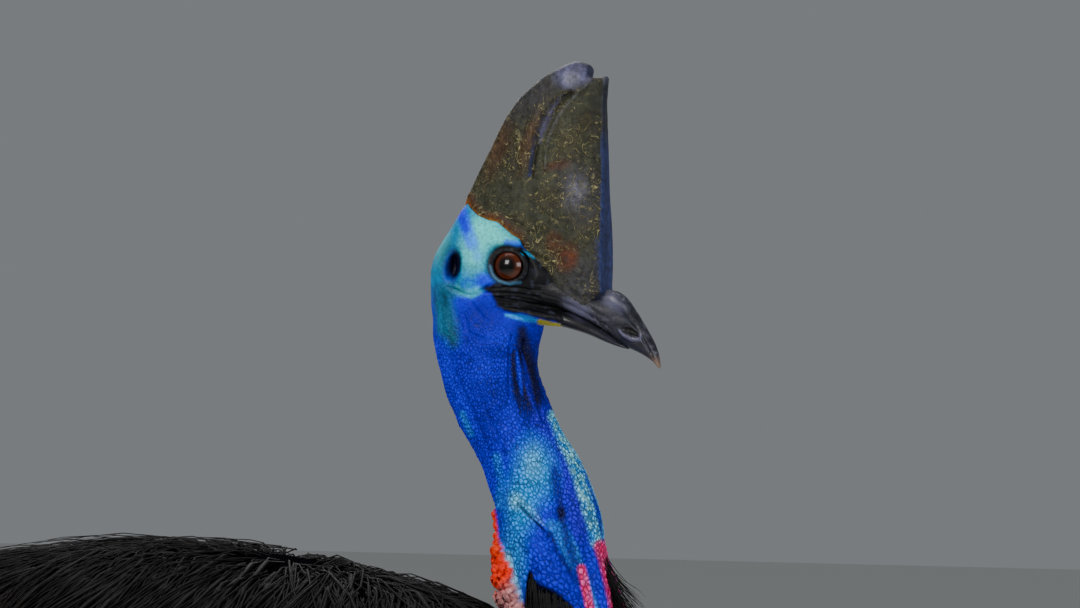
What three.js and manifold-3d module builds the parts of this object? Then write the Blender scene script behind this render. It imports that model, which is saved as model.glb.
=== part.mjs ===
// A southern cassowary, standing still, at life size. Millimetres, +Z up; the bird faces +X and its
// right side is -Y. Heights on the head and neck are measured from the eye, forward distances from
// the eye's place in the side outline. The finished group is centred over the middle of its floor box.
import * as THREE from "three";
import { LoftGeometry } from "three/addons/geometries/LoftGeometry.js";
import { mergeVertices } from "three/addons/utils/BufferGeometryUtils.js";
import Module from "manifold-3d";

const wasm = await Module();
wasm.setup();

// Driving dimensions
const EYE_HEIGHT = 1340;
const GAP = 0.35;
const SIDES = { right: -1, left: 1 };
const UP = new THREE.Vector3(0, 0, 1);

// Head: rows of [forward, top, bottom, half width], heights from the eye
const HEAD_ROWS = [
  [-63, -10, -32, 3],
  [-61, 5, -44, 11],
  [-56, 16, -53, 19],
  [-48, 28, -58, 25],
  [-37, 45, -60, 29.5],
  [-25, 58, -58, 31.5],
  [-8, 62, -50, 31.5],
  [10, 49, -41, 29],
  [25, 26, -37, 25],
  [38, 8, -34, 21.5],
  [46, 0, -34, 19],
];
const HEAD_WIDEST = -8;
const EYE = { forward: 9, side: 17.5, radius: 15.5 };
const LID = { ring: 13.6, thick: 2.6, side: 27.2 };
const EAR = { forward: -38, side: 30, height: -2, radii: [5.5, 6, 11.5], tilt: 0.16 };

// Casque: rows of [height from the eye, back, front, half thickness]
const CASQUE_ROWS = [
  [-36, 25, 79, 14],
  [-20, 0, 80.5, 16.5],
  [-8, -15, 80, 18],
  [5, -26, 79.5, 19.5],
  [20, -33, 80, 20.5],
  [35, -36, 80.3, 20.5],
  [48, -36.5, 80.3, 20],
  [58, -32, 80.3, 19],
  [90, -15.4, 80.3, 16],
  [122, 0.8, 79.5, 13],
  [139, 17, 80.8, 11.2],
  [147, 28, 81, 10.2],
  [153, 37.3, 72, 9],
  [156.5, 47, 68, 6.5],
  [158, 55, 61, 2.5],
];
// The line where the casque meets skin and bill, as [forward, height]
const CASQUE_LINE = [
  [-38, 56],
  [-33, 47],
  [-25, 39],
  [-14, 35.5],
  [-3, 33],
  [6, 25],
  [17, 14.5],
  [27, 8],
  [38, 0],
  [48, -11],
  [60, -19],
  [83, -20],
];
// The groove that runs down each side of the casque, as [forward, height, half width]
const CASQUE_GROOVE = [
  [67, 148, 2.6],
  [54, 133, 2.2],
  [43, 126, 1.9],
  [32, 113, 1.7],
  [24, 95, 1.3],
  [20, 72, 0.2],
];
const GROOVE_DEPTH = 1.6;
const CASQUE_FORM = { middle: 0.58, pinch: 0.12, flat: 0.82 };
const CASQUE_NOTCH = [
  [68.3, 175],
  [68.6, 151],
  [66.5, 145.5],
  [73.5, 145.2],
  [79.6, 147.8],
  [84, 143],
  [100, 150],
  [100, 175],
];

// Bill: rows of [forward, top, bottom, half width]
const BILL_ROWS = [
  [18, 16, -29.5, 25],
  [30, 8, -31.5, 22.5],
  [45, -4, -34.5, 19.8],
  [60, -14, -40, 17.2],
  [72, -18, -46.5, 15.3],
  [82, -19.2, -52.6, 13.6],
  [90, -21, -58.8, 12.2],
  [98, -28, -63.6, 10.9],
  [106, -39.8, -67.2, 9.2],
  [113, -51, -71, 7.4],
  [118, -59.5, -75, 5.4],
  [121, -66.5, -78.6, 3.4],
  [122.6, -73.5, -79.2, 1.2],
];
const JAW_ROWS = [
  [-16, -25, -36, 20],
  [-8, -26, -38, 24],
  [4, -26.7, -39.5, 25],
  [15, -28.4, -42, 24],
  [30, -31.2, -46, 21.5],
  [45, -34, -47.8, 18.6],
  [58, -38.8, -50.6, 15.8],
  [70, -44.8, -54.8, 13],
  [80, -50.8, -59, 10.8],
  [90, -58, -62.6, 7.8],
  [97, -62.2, -64.4, 3],
];
const BILL_ROOT = { forward: 38, height: -8, slope: 0.45 };
const NOSTRIL = { forward: 102, height: -50, side: 11, radii: [9, 5, 3], tilt: 0.24 };

// Neck: rows of [height from the eye, middle, half depth, half width]
const NECK_ROWS = [
  [4, -22, 30, 24],
  [-20, -20, 40, 28],
  [-45, -17, 45, 30],
  [-60, -17.6, 42.5, 31],
  [-77, -16.8, 40, 32],
  [-93, -12.3, 39.5, 33],
  [-112, -4.5, 39.5, 34],
  [-128, 3, 39.5, 35],
  [-143, 12, 40, 35.5],
  [-159, 21, 40.5, 36],
  [-175, 27, 41, 36.5],
  [-190, 32, 41, 37],
  [-206, 35.3, 41, 37.5],
  [-237, 41, 40.5, 37.5],
  [-267, 49, 40.5, 38],
  [-290, 54, 43, 42],
];
const NECK_CUTS = [-118, -192, -262];
const FORENECK_PINCH = 0.22;
const CARUNCLES = {
  count: 15,
  top: -199,
  bottom: -253,
  spread: 0.55,
  smallest: 5.4,
  largest: 9.6,
  out: 0.3,
};
const WATTLE_ROWS = [
  // [forward, side, height, half width, half depth]
  [74, 13, -218, 3.2, 3.2],
  [80, 16, -240, 4.6, 5],
  [87, 19, -264, 5.6, 6.6],
  [99, 22, -292, 7, 10],
  [110, 24, -325, 8.2, 14.5],
  [114, 25, -358, 8.2, 16],
  [113, 25.5, -384, 6.4, 12],
  [111, 25.5, -399, 1.6, 3],
];

// Feathered neck base: rows of [height from the eye, middle, half depth, half width]
const COLLAR_ROWS = [
  [-262, 48, 42, 39],
  [-290, 45, 46, 43],
  [-330, 34, 58, 56],
  [-380, 6, 88, 84],
  [-440, -44, 122, 112],
];
// Torso under its coat: rows of [forward, top, bottom, half width], heights from the floor
const TORSO_ROWS = [
  [78, 955, 900, 14],
  [64, 995, 845, 60],
  [36, 1030, 788, 100],
  [0, 1055, 742, 130],
  [-50, 1078, 695, 162],
  [-100, 1093, 665, 184],
  [-180, 1108, 640, 204],
  [-280, 1115, 625, 212],
  [-380, 1108, 625, 208],
  [-480, 1082, 640, 188],
  [-560, 1042, 670, 158],
  [-620, 990, 705, 125],
  [-670, 925, 740, 85],
  [-695, 870, 775, 45],
  [-706, 832, 800, 8],
];

// Leg: [forward, out to the side, height, half depth, half width], heights from the floor
const HIP_OUT = 108;
const STRIDE = { right: 34, left: -34 };
const THIGH_ROWS = [
  [-266, -8, 800, 88, 58],
  [-256, 4, 720, 94, 62],
  [-272, 10, 640, 74, 54],
  [-313, 8, 560, 47, 42],
  [-356, 5, 498, 34, 33],
];
const SHANK_ROWS = [
  [-352, 5, 512, 29, 27],
  [-372, 4, 462, 27, 25],
  [-386, 2, 420, 29, 27],
  [-393, 0, 388, 33, 30],
  [-388, 0, 352, 28, 25],
  [-382, 1, 300, 23.5, 21],
  [-374, 3, 220, 22, 20],
  [-365, 5, 140, 23, 21],
  [-357, 6, 80, 27, 25],
  [-352, 6, 34, 30, 27],
];
const SCUTES = { count: 11, step: 0.08 };
const TOES = {
  inner: { turn: -30, length: 98, width: 17, height: 34, claw: 104, clawRadius: 9.6 },
  middle: { turn: 4, length: 158, width: 19, height: 38, claw: 50, clawRadius: 8.6 },
  outer: { turn: 36, length: 120, width: 16.5, height: 33, claw: 42, clawRadius: 7.8 },
};
const PALM = { forward: 10, height: 22, radii: [38, 31, 28], toeCut: 64 };

const COLOURS = {
  skin: 0x1560d8,
  casque: 0x4a4434,
  bill: 0x26262c,
  eye: 0x5a2408,
  wattle: 0xd24258,
  feather: 0x0c0c0e,
  scale: 0x55554c,
  claw: 0x1c1a1a,
};
const FINISH = {
  skin: [0.55, 0],
  casque: [0.6, 0],
  bill: [0.4, 0],
  eye: [0.1, 0],
  wattle: [0.5, 0],
  feather: [0.6, 0],
  scale: [0.65, 0],
  claw: [0.45, 0],
};

// Coat: flat, tapered locks over a core. They root at rows along the body, and the loose ends
// lift off it by the coat's depth, which is less on the neck base than on the trunk.
const COAT = { trunk: 37, collar: 12, thick: 8, sink: 14, rise: 1 };
const TRUNK_ROWS = {
  first: 50,
  last: -640,
  pitch: 112,
  across: 104,
  cover: 0.86,
  length: 212,
  scatter: 20,
  collarAbove: 1000,
  collarAhead: -40,
};
const COLLAR_LOCKS = { first: -276, last: -392, pitch: 38, across: 46, cover: 0.97, length: 110 };
const LENGTH_VARIES = 0.16;
const THIGH_LOCKS = {
  first: 0.6,
  last: 0.8,
  rows: 2,
  around: 5,
  length: 0.36,
  wide: 58,
  thick: 7,
  sink: 9,
  rise: 1,
  lift: 15,
};
// A lock's stations from root to tip, and its width at each as a share of the whole
const LOCK_STAGES = [0, 0.12, 0.55, 1];
const LOCK_SHAPE = [0.5, 0.85, 1, 0.05];
// Behind this the locks grow longer, droop, and hang free of the core
const RUMP = { from: -400, to: -700, longer: 0.36, droop: 0.4, free: 0.75 };
// Wing: a small stub on the flank with bare quills that lie over the coat
const WING = { forward: -130, turn: 84, radii: [52, 17, 30], quills: 5, quillRadius: 2.6, lift: 49 };
const QUILL = { start: -8, spread: 22, reach: 95, fan: 25, drop: 52, close: 22, thin: 0.6 };

// A seeded draw from 0 to 1, the same on every run
function seededDraw(seed) {
  let state = seed;
  return () => {
    state = (state * 16807) % 2147483647;
    return (state - 1) / 2147483646;
  };
}

// The row of a table at a key, smooth between its rows; the key is each row's first number
function follow(rows, key) {
  const rising = rows[rows.length - 1][0] > rows[0][0];
  const table = rising ? rows : [...rows].reverse();
  const k = THREE.MathUtils.clamp(key, table[0][0], table[table.length - 1][0]);
  let i = 0;
  while (i < table.length - 2 && table[i + 1][0] < k) i += 1;
  const slope = (n, c) => {
    const before = table[Math.max(n - 1, 0)];
    const after = table[Math.min(n + 1, table.length - 1)];
    return (after[c] - before[c]) / (after[0] - before[0]);
  };
  const span = table[i + 1][0] - table[i][0];
  const t = (k - table[i][0]) / span;
  return table[i].map((a, c) => {
    if (c === 0) return k;
    const b = table[i + 1][c];
    const cubic = 2 * t ** 3 - 3 * t ** 2 + 1;
    const bend = (t ** 3 - 2 * t ** 2 + t) * slope(i, c) + (t ** 3 - t ** 2) * slope(i + 1, c);
    return a * cubic + b * (1 - cubic) + bend * span;
  });
}

// A closed geometry as a solid, its shared points merged and its empty faces dropped
function solidOf(geometry) {
  const bare = new THREE.BufferGeometry().copy(geometry);
  bare.deleteAttribute("normal");
  bare.deleteAttribute("uv");
  const merged = mergeVertices(bare, 1e-3);
  const index = merged.index.array;
  const faces = [];
  for (let i = 0; i < index.length; i += 3) {
    const [a, b, c] = index.slice(i, i + 3);
    if (a !== b && b !== c && c !== a) faces.push(a, b, c);
  }
  const build = (list) =>
    new wasm.Manifold(
      new wasm.Mesh({
        numProp: 3,
        vertProperties: new Float32Array(merged.attributes.position.array),
        triVerts: new Uint32Array(list),
      }),
    );
  const solid = build(faces);
  return solid.volume() > 0 ? solid : build([...faces].reverse());
}

// One round section: widths to the side, heights up and down from the middle.
// pinch narrows it towards the top, flat squares it.
function section(middle, side, up, halfWidth, rise, fall, around, pinch = 0, flat = 1) {
  const shaped = (v) => Math.sign(v) * Math.abs(v) ** flat;
  return Array.from({ length: around }, (_, j) => {
    const turn = (2 * Math.PI * j) / around;
    const across = shaped(Math.sin(turn));
    const along = shaped(Math.cos(turn));
    const narrow = 1 - pinch * Math.max(along, 0) ** 2;
    return middle
      .clone()
      .addScaledVector(side, halfWidth * across * narrow)
      .addScaledVector(up, along > 0 ? along * rise : along * fall);
  });
}

function middleOf(points) {
  return points.reduce((sum, p) => sum.add(p), new THREE.Vector3()).divideScalar(points.length);
}

// A closed body through its sections, each turned to run counterclockwise about the way ahead.
// grow moves both ends outwards.
function lofted(sections, grow = 0) {
  const [first, next] = sections;
  const [before, last] = sections.slice(-2);
  const ahead = middleOf(next).sub(middleOf(first)).normalize();
  const onward = middleOf(last).sub(middleOf(before)).normalize();
  first.forEach((p) => p.addScaledVector(ahead, -grow));
  last.forEach((p) => p.addScaledVector(onward, grow));
  const turn = new THREE.Vector3();
  first.forEach((p, j) => turn.add(new THREE.Vector3().crossVectors(p, first[(j + 1) % first.length])));
  const rings = turn.dot(ahead) < 0 ? sections.map((ring) => [...ring].reverse()) : sections;
  return solidOf(new LoftGeometry(rings, { capStart: true, capEnd: true }));
}

function steps(from, to, count) {
  return Array.from({ length: count + 1 }, (_, i) => from + ((to - from) * i) / count);
}

const FORWARD = new THREE.Vector3(1, 0, 0);
const ACROSS = new THREE.Vector3(0, 1, 0);

// A body with upright sections along X, from rows of [forward, top, bottom, half width]
function alongForward(rows, keys, { around, lift = 0, widest = null, pinch = 0, flat = 1, grow = 0 }) {
  return lofted(
    keys.map((x) => {
      const [, top, bottom, wide] = follow(rows, x);
      const half = (top + bottom) / 2;
      const level = widest === null ? half : Math.min(Math.max(widest, bottom + 3), top - 3);
      const middle = new THREE.Vector3(x, 0, lift + level);
      const rise = top - level + grow;
      const fall = level - bottom + grow;
      return section(middle, ACROSS, UP, wide + grow, rise, fall, around, pinch, flat);
    }),
    grow,
  );
}

// A body with level sections up Z, from rows of [height, middle, half depth, half width]
function alongHeight(rows, keys, { around, lift = 0, pinch = 0, flat = 1, grow = 0 }) {
  return lofted(
    keys.map((z) => {
      const [, middle, deep, wide] = follow(rows, z);
      const at = new THREE.Vector3(middle, 0, lift + z);
      return section(at, ACROSS, FORWARD, wide + grow, deep + grow, deep + grow, around, pinch, flat);
    }),
    grow,
  );
}

// The frame at each share of a bent path, from rows of [forward, side, height, half depth, half width]
function pathFrames(rows) {
  const curve = new THREE.CatmullRomCurve3(rows.map(([x, y, z]) => new THREE.Vector3(x, y, z)));
  const sizes = rows.map(([, , , deep, wide], i) => [i / (rows.length - 1), deep, wide]);
  return (t) => {
    const ahead = curve.getTangent(Math.min(t, 1));
    const side = new THREE.Vector3().crossVectors(ahead, FORWARD).normalize();
    if (side.y < 0) side.negate();
    const front = new THREE.Vector3().crossVectors(side, ahead).normalize();
    if (front.x < 0) front.negate();
    const [, deep, wide] = follow(sizes, t);
    const beyond = Math.max(t - 1, 0) * curve.getLength();
    const at = curve.getPoint(Math.min(t, 1)).addScaledVector(ahead, beyond);
    return { at, side, front, deep, wide };
  };
}

// A tube along a bent path; swell widens its front at each share of the way
function alongPath(rows, { count, at = steps(0, 1, count), around, grow = 0, swell = () => 1 }) {
  const frame = pathFrames(rows);
  return lofted(
    at.map((t) => {
      const f = frame(t);
      const front = f.deep * swell(t) + grow;
      return section(f.at, f.side, f.front, f.wide + grow, front, f.deep + grow, around);
    }),
    grow,
  );
}

// A flat, tapered lock with a ridge along its outer face, through points that each have an outward
// direction
function lock(points, outs, width, thick) {
  const last = points.length - 1;
  const rings = points.map((p, i) => {
    const ahead = points[Math.min(i + 1, last)].clone().sub(points[Math.max(i - 1, 0)]).normalize();
    const side = new THREE.Vector3().crossVectors(ahead, outs[i]).normalize();
    const out = new THREE.Vector3().crossVectors(side, ahead).normalize();
    const half = (width * LOCK_SHAPE[i]) / 2;
    const deep = (i === last ? 0.3 : 1) * thick;
    return [
      p.clone().addScaledVector(side, half).addScaledVector(out, -0.35 * deep),
      p.clone().addScaledVector(out, 0.65 * deep),
      p.clone().addScaledVector(side, -half).addScaledVector(out, -0.35 * deep),
    ];
  });
  return lofted(rings);
}

function ball(radii, at, detail = 8, turn = new THREE.Euler()) {
  const shape = new THREE.SphereGeometry(1, detail, Math.round(detail * 0.7));
  shape.scale(...radii);
  shape.applyMatrix4(new THREE.Matrix4().makeRotationFromEuler(turn));
  shape.translate(...at);
  return solidOf(shape);
}

// A slab as wide as the bird whose side outline is a polygon of [forward, height]
function sideSlab(outline, lift) {
  const shape = new THREE.Shape(outline.map(([x, z]) => new THREE.Vector2(x, z)));
  const slab = new THREE.ExtrudeGeometry(shape, { depth: 200, bevelEnabled: false });
  slab.translate(0, 0, -100);
  slab.rotateX(Math.PI / 2);
  slab.translate(0, 0, lift);
  return solidOf(slab);
}

function joined(solids) {
  return wasm.Manifold.union(solids);
}

// The part of a solid on the side that the direction points to
function keepSide(solid, direction, point) {
  const n = direction.clone().normalize();
  return solid.trimByPlane([n.x, n.y, n.z], n.dot(point));
}

function largestPiece(solid) {
  return solid.decompose().reduce((a, b) => (b.volume() > a.volume() ? b : a));
}

const bird = new THREE.Group();

function addNode(name, solid, look) {
  const mesh = largestPiece(solid).getMesh();
  const geometry = new THREE.BufferGeometry();
  geometry.setAttribute("position", new THREE.BufferAttribute(mesh.vertProperties, 3));
  geometry.setIndex(new THREE.BufferAttribute(mesh.triVerts, 1));
  geometry.computeVertexNormals();
  const [roughness, metalness] = FINISH[look];
  const material = new THREE.MeshStandardMaterial({ color: COLOURS[look], roughness, metalness });
  const node = new THREE.Mesh(geometry, material);
  node.name = name;
  bird.add(node);
}

// The region above the casque line, as a slab
function casqueSpace(grow) {
  const line = CASQUE_LINE.map(([x, z]) => [x, z - grow]);
  const behind = line[0][1];
  const ahead = line[line.length - 1][1];
  const around = [
    [140, ahead],
    [140, 200],
    [-90, 200],
    [-90, behind + 60],
    [-50, behind + 14],
  ];
  return sideSlab([...line, ...around], EYE_HEIGHT);
}

function casque() {
  const keys = CASQUE_ROWS.map((row) => row[0]);
  const shaped = (grow) =>
    lofted(
      keys.map((z) => {
        const [, back, front, thick] = follow(CASQUE_ROWS, z);
        const { middle, pinch, flat } = CASQUE_FORM;
        const at = new THREE.Vector3(back + (front - back) * middle, 0, EYE_HEIGHT + z);
        const rise = front - at.x + grow;
        const fall = at.x - back + grow;
        return section(at, ACROSS, FORWARD, thick + grow, rise, fall, 16, pinch, flat);
      }),
    );
  const upperEdge = CASQUE_GROOVE.map(([x, z, half]) => [x - half, z + half]);
  const lowerEdge = CASQUE_GROOVE.map(([x, z, half]) => [x + half, z - half]).reverse();
  const groove = sideSlab([...upperEdge, ...lowerEdge], EYE_HEIGHT).subtract(shaped(-GROOVE_DEPTH));
  return shaped(0)
    .intersect(casqueSpace(0))
    .subtract(groove)
    .subtract(sideSlab(CASQUE_NOTCH, EYE_HEIGHT));
}

function eyeball(side, grow = 0) {
  const r = EYE.radius + grow;
  return ball([r, r, r], [EYE.forward, side * EYE.side, EYE_HEIGHT], 11);
}

// A raised ring of lid round one eye
function lids(side) {
  const ring = new THREE.TorusGeometry(LID.ring, LID.thick, 4, 15);
  ring.rotateX(Math.PI / 2);
  ring.scale(1.05, 1, 0.94);
  ring.translate(EYE.forward, side * LID.side, EYE_HEIGHT);
  return solidOf(ring);
}

function headShape(grow = 0) {
  const keys = HEAD_ROWS.map((row) => row[0]);
  const form = { around: 20, lift: EYE_HEIGHT, widest: HEAD_WIDEST, pinch: 0.2, grow };
  return alongForward(HEAD_ROWS, keys, form);
}

function jawShape(grow = 0) {
  const keys = JAW_ROWS.map((row) => row[0]);
  return alongForward(JAW_ROWS, keys, { around: 12, lift: EYE_HEIGHT, flat: 0.8, grow });
}

const BILL_FACE = new THREE.Vector3(1, 0, BILL_ROOT.slope);
const BILL_POINT = new THREE.Vector3(BILL_ROOT.forward, 0, EYE_HEIGHT + BILL_ROOT.height);

function upperBill() {
  const keys = BILL_ROWS.map((row) => row[0]);
  const whole = alongForward(BILL_ROWS, keys, { around: 14, lift: EYE_HEIGHT, pinch: 0.42, flat: 0.85 });
  const nostrils = Object.values(SIDES).map((side) => {
    const at = [NOSTRIL.forward, side * NOSTRIL.side, EYE_HEIGHT + NOSTRIL.height];
    return ball(NOSTRIL.radii, at, 8, new THREE.Euler(0, NOSTRIL.tilt, 0));
  });
  return keepSide(whole, BILL_FACE, BILL_POINT)
    .subtract(casqueSpace(GAP))
    .subtract(joined(nostrils))
    .subtract(jawShape(GAP));
}

function head() {
  const behindBill = BILL_POINT.clone().addScaledVector(BILL_FACE.clone().normalize(), -GAP);
  let solid = keepSide(headShape(), BILL_FACE.clone().negate(), behindBill);
  for (const side of Object.values(SIDES)) {
    const earAt = [EAR.forward, side * EAR.side, EYE_HEIGHT + EAR.height];
    const cup = ball(EAR.radii, earAt, 9, new THREE.Euler(0, EAR.tilt, 0));
    solid = solid.add(lids(side)).subtract(cup).subtract(eyeball(side, GAP));
  }
  return solid.subtract(casqueSpace(GAP)).subtract(jawShape(GAP));
}

function neckShape(keys, grow = 0) {
  const form = { around: 20, lift: EYE_HEIGHT, pinch: FORENECK_PINCH, grow };
  return alongHeight(NECK_ROWS, keys, form);
}

// Bare knobs over the lower back of the neck
function caruncles(grow = 0) {
  const draw = seededDraw(7);
  return Array.from({ length: CARUNCLES.count }, (_, i) => {
    const share = (i + draw()) / CARUNCLES.count;
    const z = CARUNCLES.top + (CARUNCLES.bottom - CARUNCLES.top) * share;
    const [, middle, deep, wide] = follow(NECK_ROWS, z);
    const turn = (draw() * 2 - 1) * CARUNCLES.spread * (0.5 + share);
    const size = THREE.MathUtils.lerp(CARUNCLES.smallest, CARUNCLES.largest, share * (0.6 + 0.4 * draw()));
    const back = middle - (deep + size * CARUNCLES.out) * Math.cos(turn);
    const at = [back, (wide + size * CARUNCLES.out) * Math.sin(turn), EYE_HEIGHT + z];
    const knob = new THREE.IcosahedronGeometry(size + 1.3 * grow, 0);
    knob.rotateZ(draw() * 3);
    knob.translate(...at);
    return solidOf(knob);
  });
}

function wattle(side, grow = 0) {
  const rows = WATTLE_ROWS.map(([x, y, z, wide, deep]) => [x, side * y, EYE_HEIGHT + z, deep, wide]);
  return alongPath(rows, { count: 10, around: 8, grow });
}

function neckKeys() {
  return [...new Set([...NECK_ROWS.map((row) => row[0]), ...NECK_CUTS])].sort((a, b) => b - a);
}

// The neck with its knobs, cut clear of head, jaw and wattles
function carvedNeck(grow = 0) {
  const whole = joined([neckShape(neckKeys(), grow), ...caruncles(grow)]);
  const others = [wattle(-1, GAP), wattle(1, GAP), headShape(GAP), jawShape(GAP)];
  return grow > 0 ? whole : others.reduce((solid, tool) => solid.subtract(tool), whole);
}

// The room that the bare neck takes above the coat
function neckSpace() {
  const end = new THREE.Vector3(0, 0, EYE_HEIGHT + NECK_CUTS.at(-1) - GAP / 2);
  return keepSide(carvedNeck(GAP), UP, end);
}

function neckPieces() {
  const carved = carvedNeck();
  const down = UP.clone().negate();
  const names = ["neck_upper", "neck_middle", "neck_lower"];
  let above = 40;
  return names.map((name, i) => {
    const top = new THREE.Vector3(0, 0, EYE_HEIGHT + above - GAP / 2);
    const bottom = new THREE.Vector3(0, 0, EYE_HEIGHT + NECK_CUTS[i] + GAP / 2);
    above = NECK_CUTS[i];
    return [name, keepSide(keepSide(carved, down, top), UP, bottom)];
  });
}

// A point on the torso under its coat, at a turn from straight up, with its outward direction
function torsoPoint(x, turn, out) {
  const [, top, bottom, wide] = follow(TORSO_ROWS, x);
  const high = (top - bottom) / 2;
  const normal = new THREE.Vector3(0, Math.sin(turn) / wide, Math.cos(turn) / high).normalize();
  const at = new THREE.Vector3(x, wide * Math.sin(turn), (top + bottom) / 2 + high * Math.cos(turn));
  return { at: at.addScaledVector(normal, out), normal };
}

// A point on the neck base under its coat, at a height from the eye and a turn from straight ahead
function collarPoint(z, turn) {
  const [, middle, deep, wide] = follow(COLLAR_ROWS, z);
  return new THREE.Vector3(middle + deep * Math.cos(turn), wide * Math.sin(turn), EYE_HEIGHT + z);
}

function torsoCore() {
  const keys = TORSO_ROWS.map((row) => row[0]);
  return alongForward(TORSO_ROWS, keys, { around: 14 });
}

function collarCore() {
  const keys = COLLAR_ROWS.map((row) => row[0] - GAP);
  return alongHeight(COLLAR_ROWS, keys, { around: 14, lift: EYE_HEIGHT });
}

// About how far a point lies outside the core of torso and neck base, negative inside
function offCore(p) {
  const [x, top, bottom, wide] = follow(TORSO_ROWS, p.x);
  const high = (top - bottom) / 2;
  const round = (Math.hypot(p.y / wide, (p.z - (top + bottom) / 2) / high) - 1) * Math.min(wide, high);
  const beyond = Math.abs(p.x - x);
  const torso = beyond > 0 ? Math.hypot(Math.max(round, 0), beyond) : round;
  const [z, middle, deep, broad] = follow(COLLAR_ROWS, p.z - EYE_HEIGHT);
  const about = (Math.hypot((p.x - middle) / deep, p.y / broad) - 1) * Math.min(deep, broad);
  const past = Math.abs(p.z - EYE_HEIGHT - z);
  const collar = past > 0 ? Math.hypot(Math.max(about, 0), past) : about;
  return Math.min(torso, collar);
}

function outwards(p) {
  const reach = 2;
  const near = (axis, distance) => offCore(p.clone().addScaledVector(axis, distance));
  const along = (axis) => near(axis, reach) - near(axis, -reach);
  return new THREE.Vector3(along(FORWARD), along(ACROSS), along(UP)).normalize();
}

// The nearest place at a given distance off the core
function setOff(p, distance) {
  const at = p.clone();
  for (let i = 0; i < 4; i += 1) at.addScaledVector(outwards(at), distance - offCore(at));
  return at;
}

// The lie of the coat: back and down along the trunk, down at the chest, neck base and rump
function lie(p) {
  const collar = THREE.MathUtils.smoothstep(p.z, 985, 1075);
  const chest = THREE.MathUtils.smoothstep(p.x, -60, 60);
  const rump = 1 - THREE.MathUtils.smoothstep(p.x, RUMP.to, RUMP.from);
  const down = 0.62 + 1.5 * Math.max(collar, 0.5 * chest) + RUMP.droop * rump;
  return new THREE.Vector3(-1 + 0.75 * Math.max(collar, 0.4 * chest), 0, -down).normalize();
}

// How far the loose ends stand off, less towards the bare neck
function coatDepth(p) {
  const below = THREE.MathUtils.smoothstep(EYE_HEIGHT - p.z, 262, 400);
  const behind = THREE.MathUtils.smoothstep(-p.x, 20, 140);
  return THREE.MathUtils.lerp(COAT.collar, COAT.trunk, Math.max(below, behind));
}

// A factor a little above or below one
function vary(draw) {
  return 1 + LENGTH_VARIES * (draw() - 0.5);
}

// A lock from a place on the core along the lie, its last stretch hanging free by a share
function coatLock(root, length, width, free, draw) {
  const outs = [];
  const points = [];
  let at = setOff(root, 0);
  LOCK_STAGES.forEach((stage, i) => {
    const out = outwards(at);
    const stand = coatDepth(at) - COAT.rise - 0.65 * COAT.thick;
    const lifted = i === 0 ? -COAT.sink : COAT.rise + stand * stage;
    outs.push(out);
    points.push(at.clone().addScaledVector(out, lifted));
    if (i === LOCK_STAGES.length - 1) return;
    const ahead = lie(at).addScaledVector(ACROSS, (draw() - 0.5) * 0.12);
    const along = ahead.clone().addScaledVector(out, -ahead.dot(out)).normalize();
    const step = length * (LOCK_STAGES[i + 1] - stage);
    const next = at.clone().addScaledVector(along, step);
    const hanging = at.clone().addScaledVector(ahead.normalize(), step);
    const loose = free > 0 && i + 2 === LOCK_STAGES.length;
    at = loose ? next.lerp(hanging, free) : setOff(next, 0);
  });
  return lock(points, outs, width, COAT.thick);
}

function trunkLocks() {
  const draw = seededDraw(13);
  const rows = Math.round((TRUNK_ROWS.first - TRUNK_ROWS.last) / TRUNK_ROWS.pitch);
  return steps(TRUNK_ROWS.first, TRUNK_ROWS.last, rows).flatMap((x, row) => {
    const [, top, bottom, wide] = follow(TORSO_ROWS, x);
    const girth = Math.PI * (wide + (top - bottom) / 2);
    const count = Math.max(3, Math.round(girth / TRUNK_ROWS.across));
    return Array.from({ length: count }, (_, i) => {
      const turn = ((i + 0.5 * (row % 2)) / count) * 2 * Math.PI;
      const root = torsoPoint(x + (draw() - 0.5) * TRUNK_ROWS.scatter, turn, 0).at;
      const rump = 1 - THREE.MathUtils.smoothstep(x, RUMP.to, RUMP.from);
      const length = TRUNK_ROWS.length * vary(draw) * (1 + RUMP.longer * rump);
      const inside = root.z > TRUNK_ROWS.collarAbove && root.x > TRUNK_ROWS.collarAhead;
      const width = (TRUNK_ROWS.cover * girth) / count;
      return inside ? null : coatLock(root, length, width, RUMP.free * rump, draw);
    });
  });
}

function collarLocks() {
  const draw = seededDraw(5);
  const rows = Math.round((COLLAR_LOCKS.first - COLLAR_LOCKS.last) / COLLAR_LOCKS.pitch);
  return steps(COLLAR_LOCKS.first, COLLAR_LOCKS.last, rows).flatMap((z, row) => {
    const [, , deep, wide] = follow(COLLAR_ROWS, z);
    const girth = Math.PI * (deep + wide);
    const count = Math.round(girth / COLLAR_LOCKS.across);
    return Array.from({ length: count }, (_, i) => {
      const turn = ((i + 0.5 * (row % 2)) / count) * 2 * Math.PI;
      const root = collarPoint(z, turn);
      const width = (COLLAR_LOCKS.cover * girth) / count;
      return offCore(root) < -6 ? null : coatLock(root, COLLAR_LOCKS.length * vary(draw), width, 0, draw);
    });
  });
}

function feathered() {
  const locks = [...trunkLocks(), ...collarLocks()].filter(Boolean);
  return joined([torsoCore(), collarCore(), ...locks]);
}

// A point on the torso's side, at a turn in degrees from straight up
function flankPoint(side, x, turn, out) {
  return torsoPoint(x, side * THREE.MathUtils.degToRad(turn), out).at;
}

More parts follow.
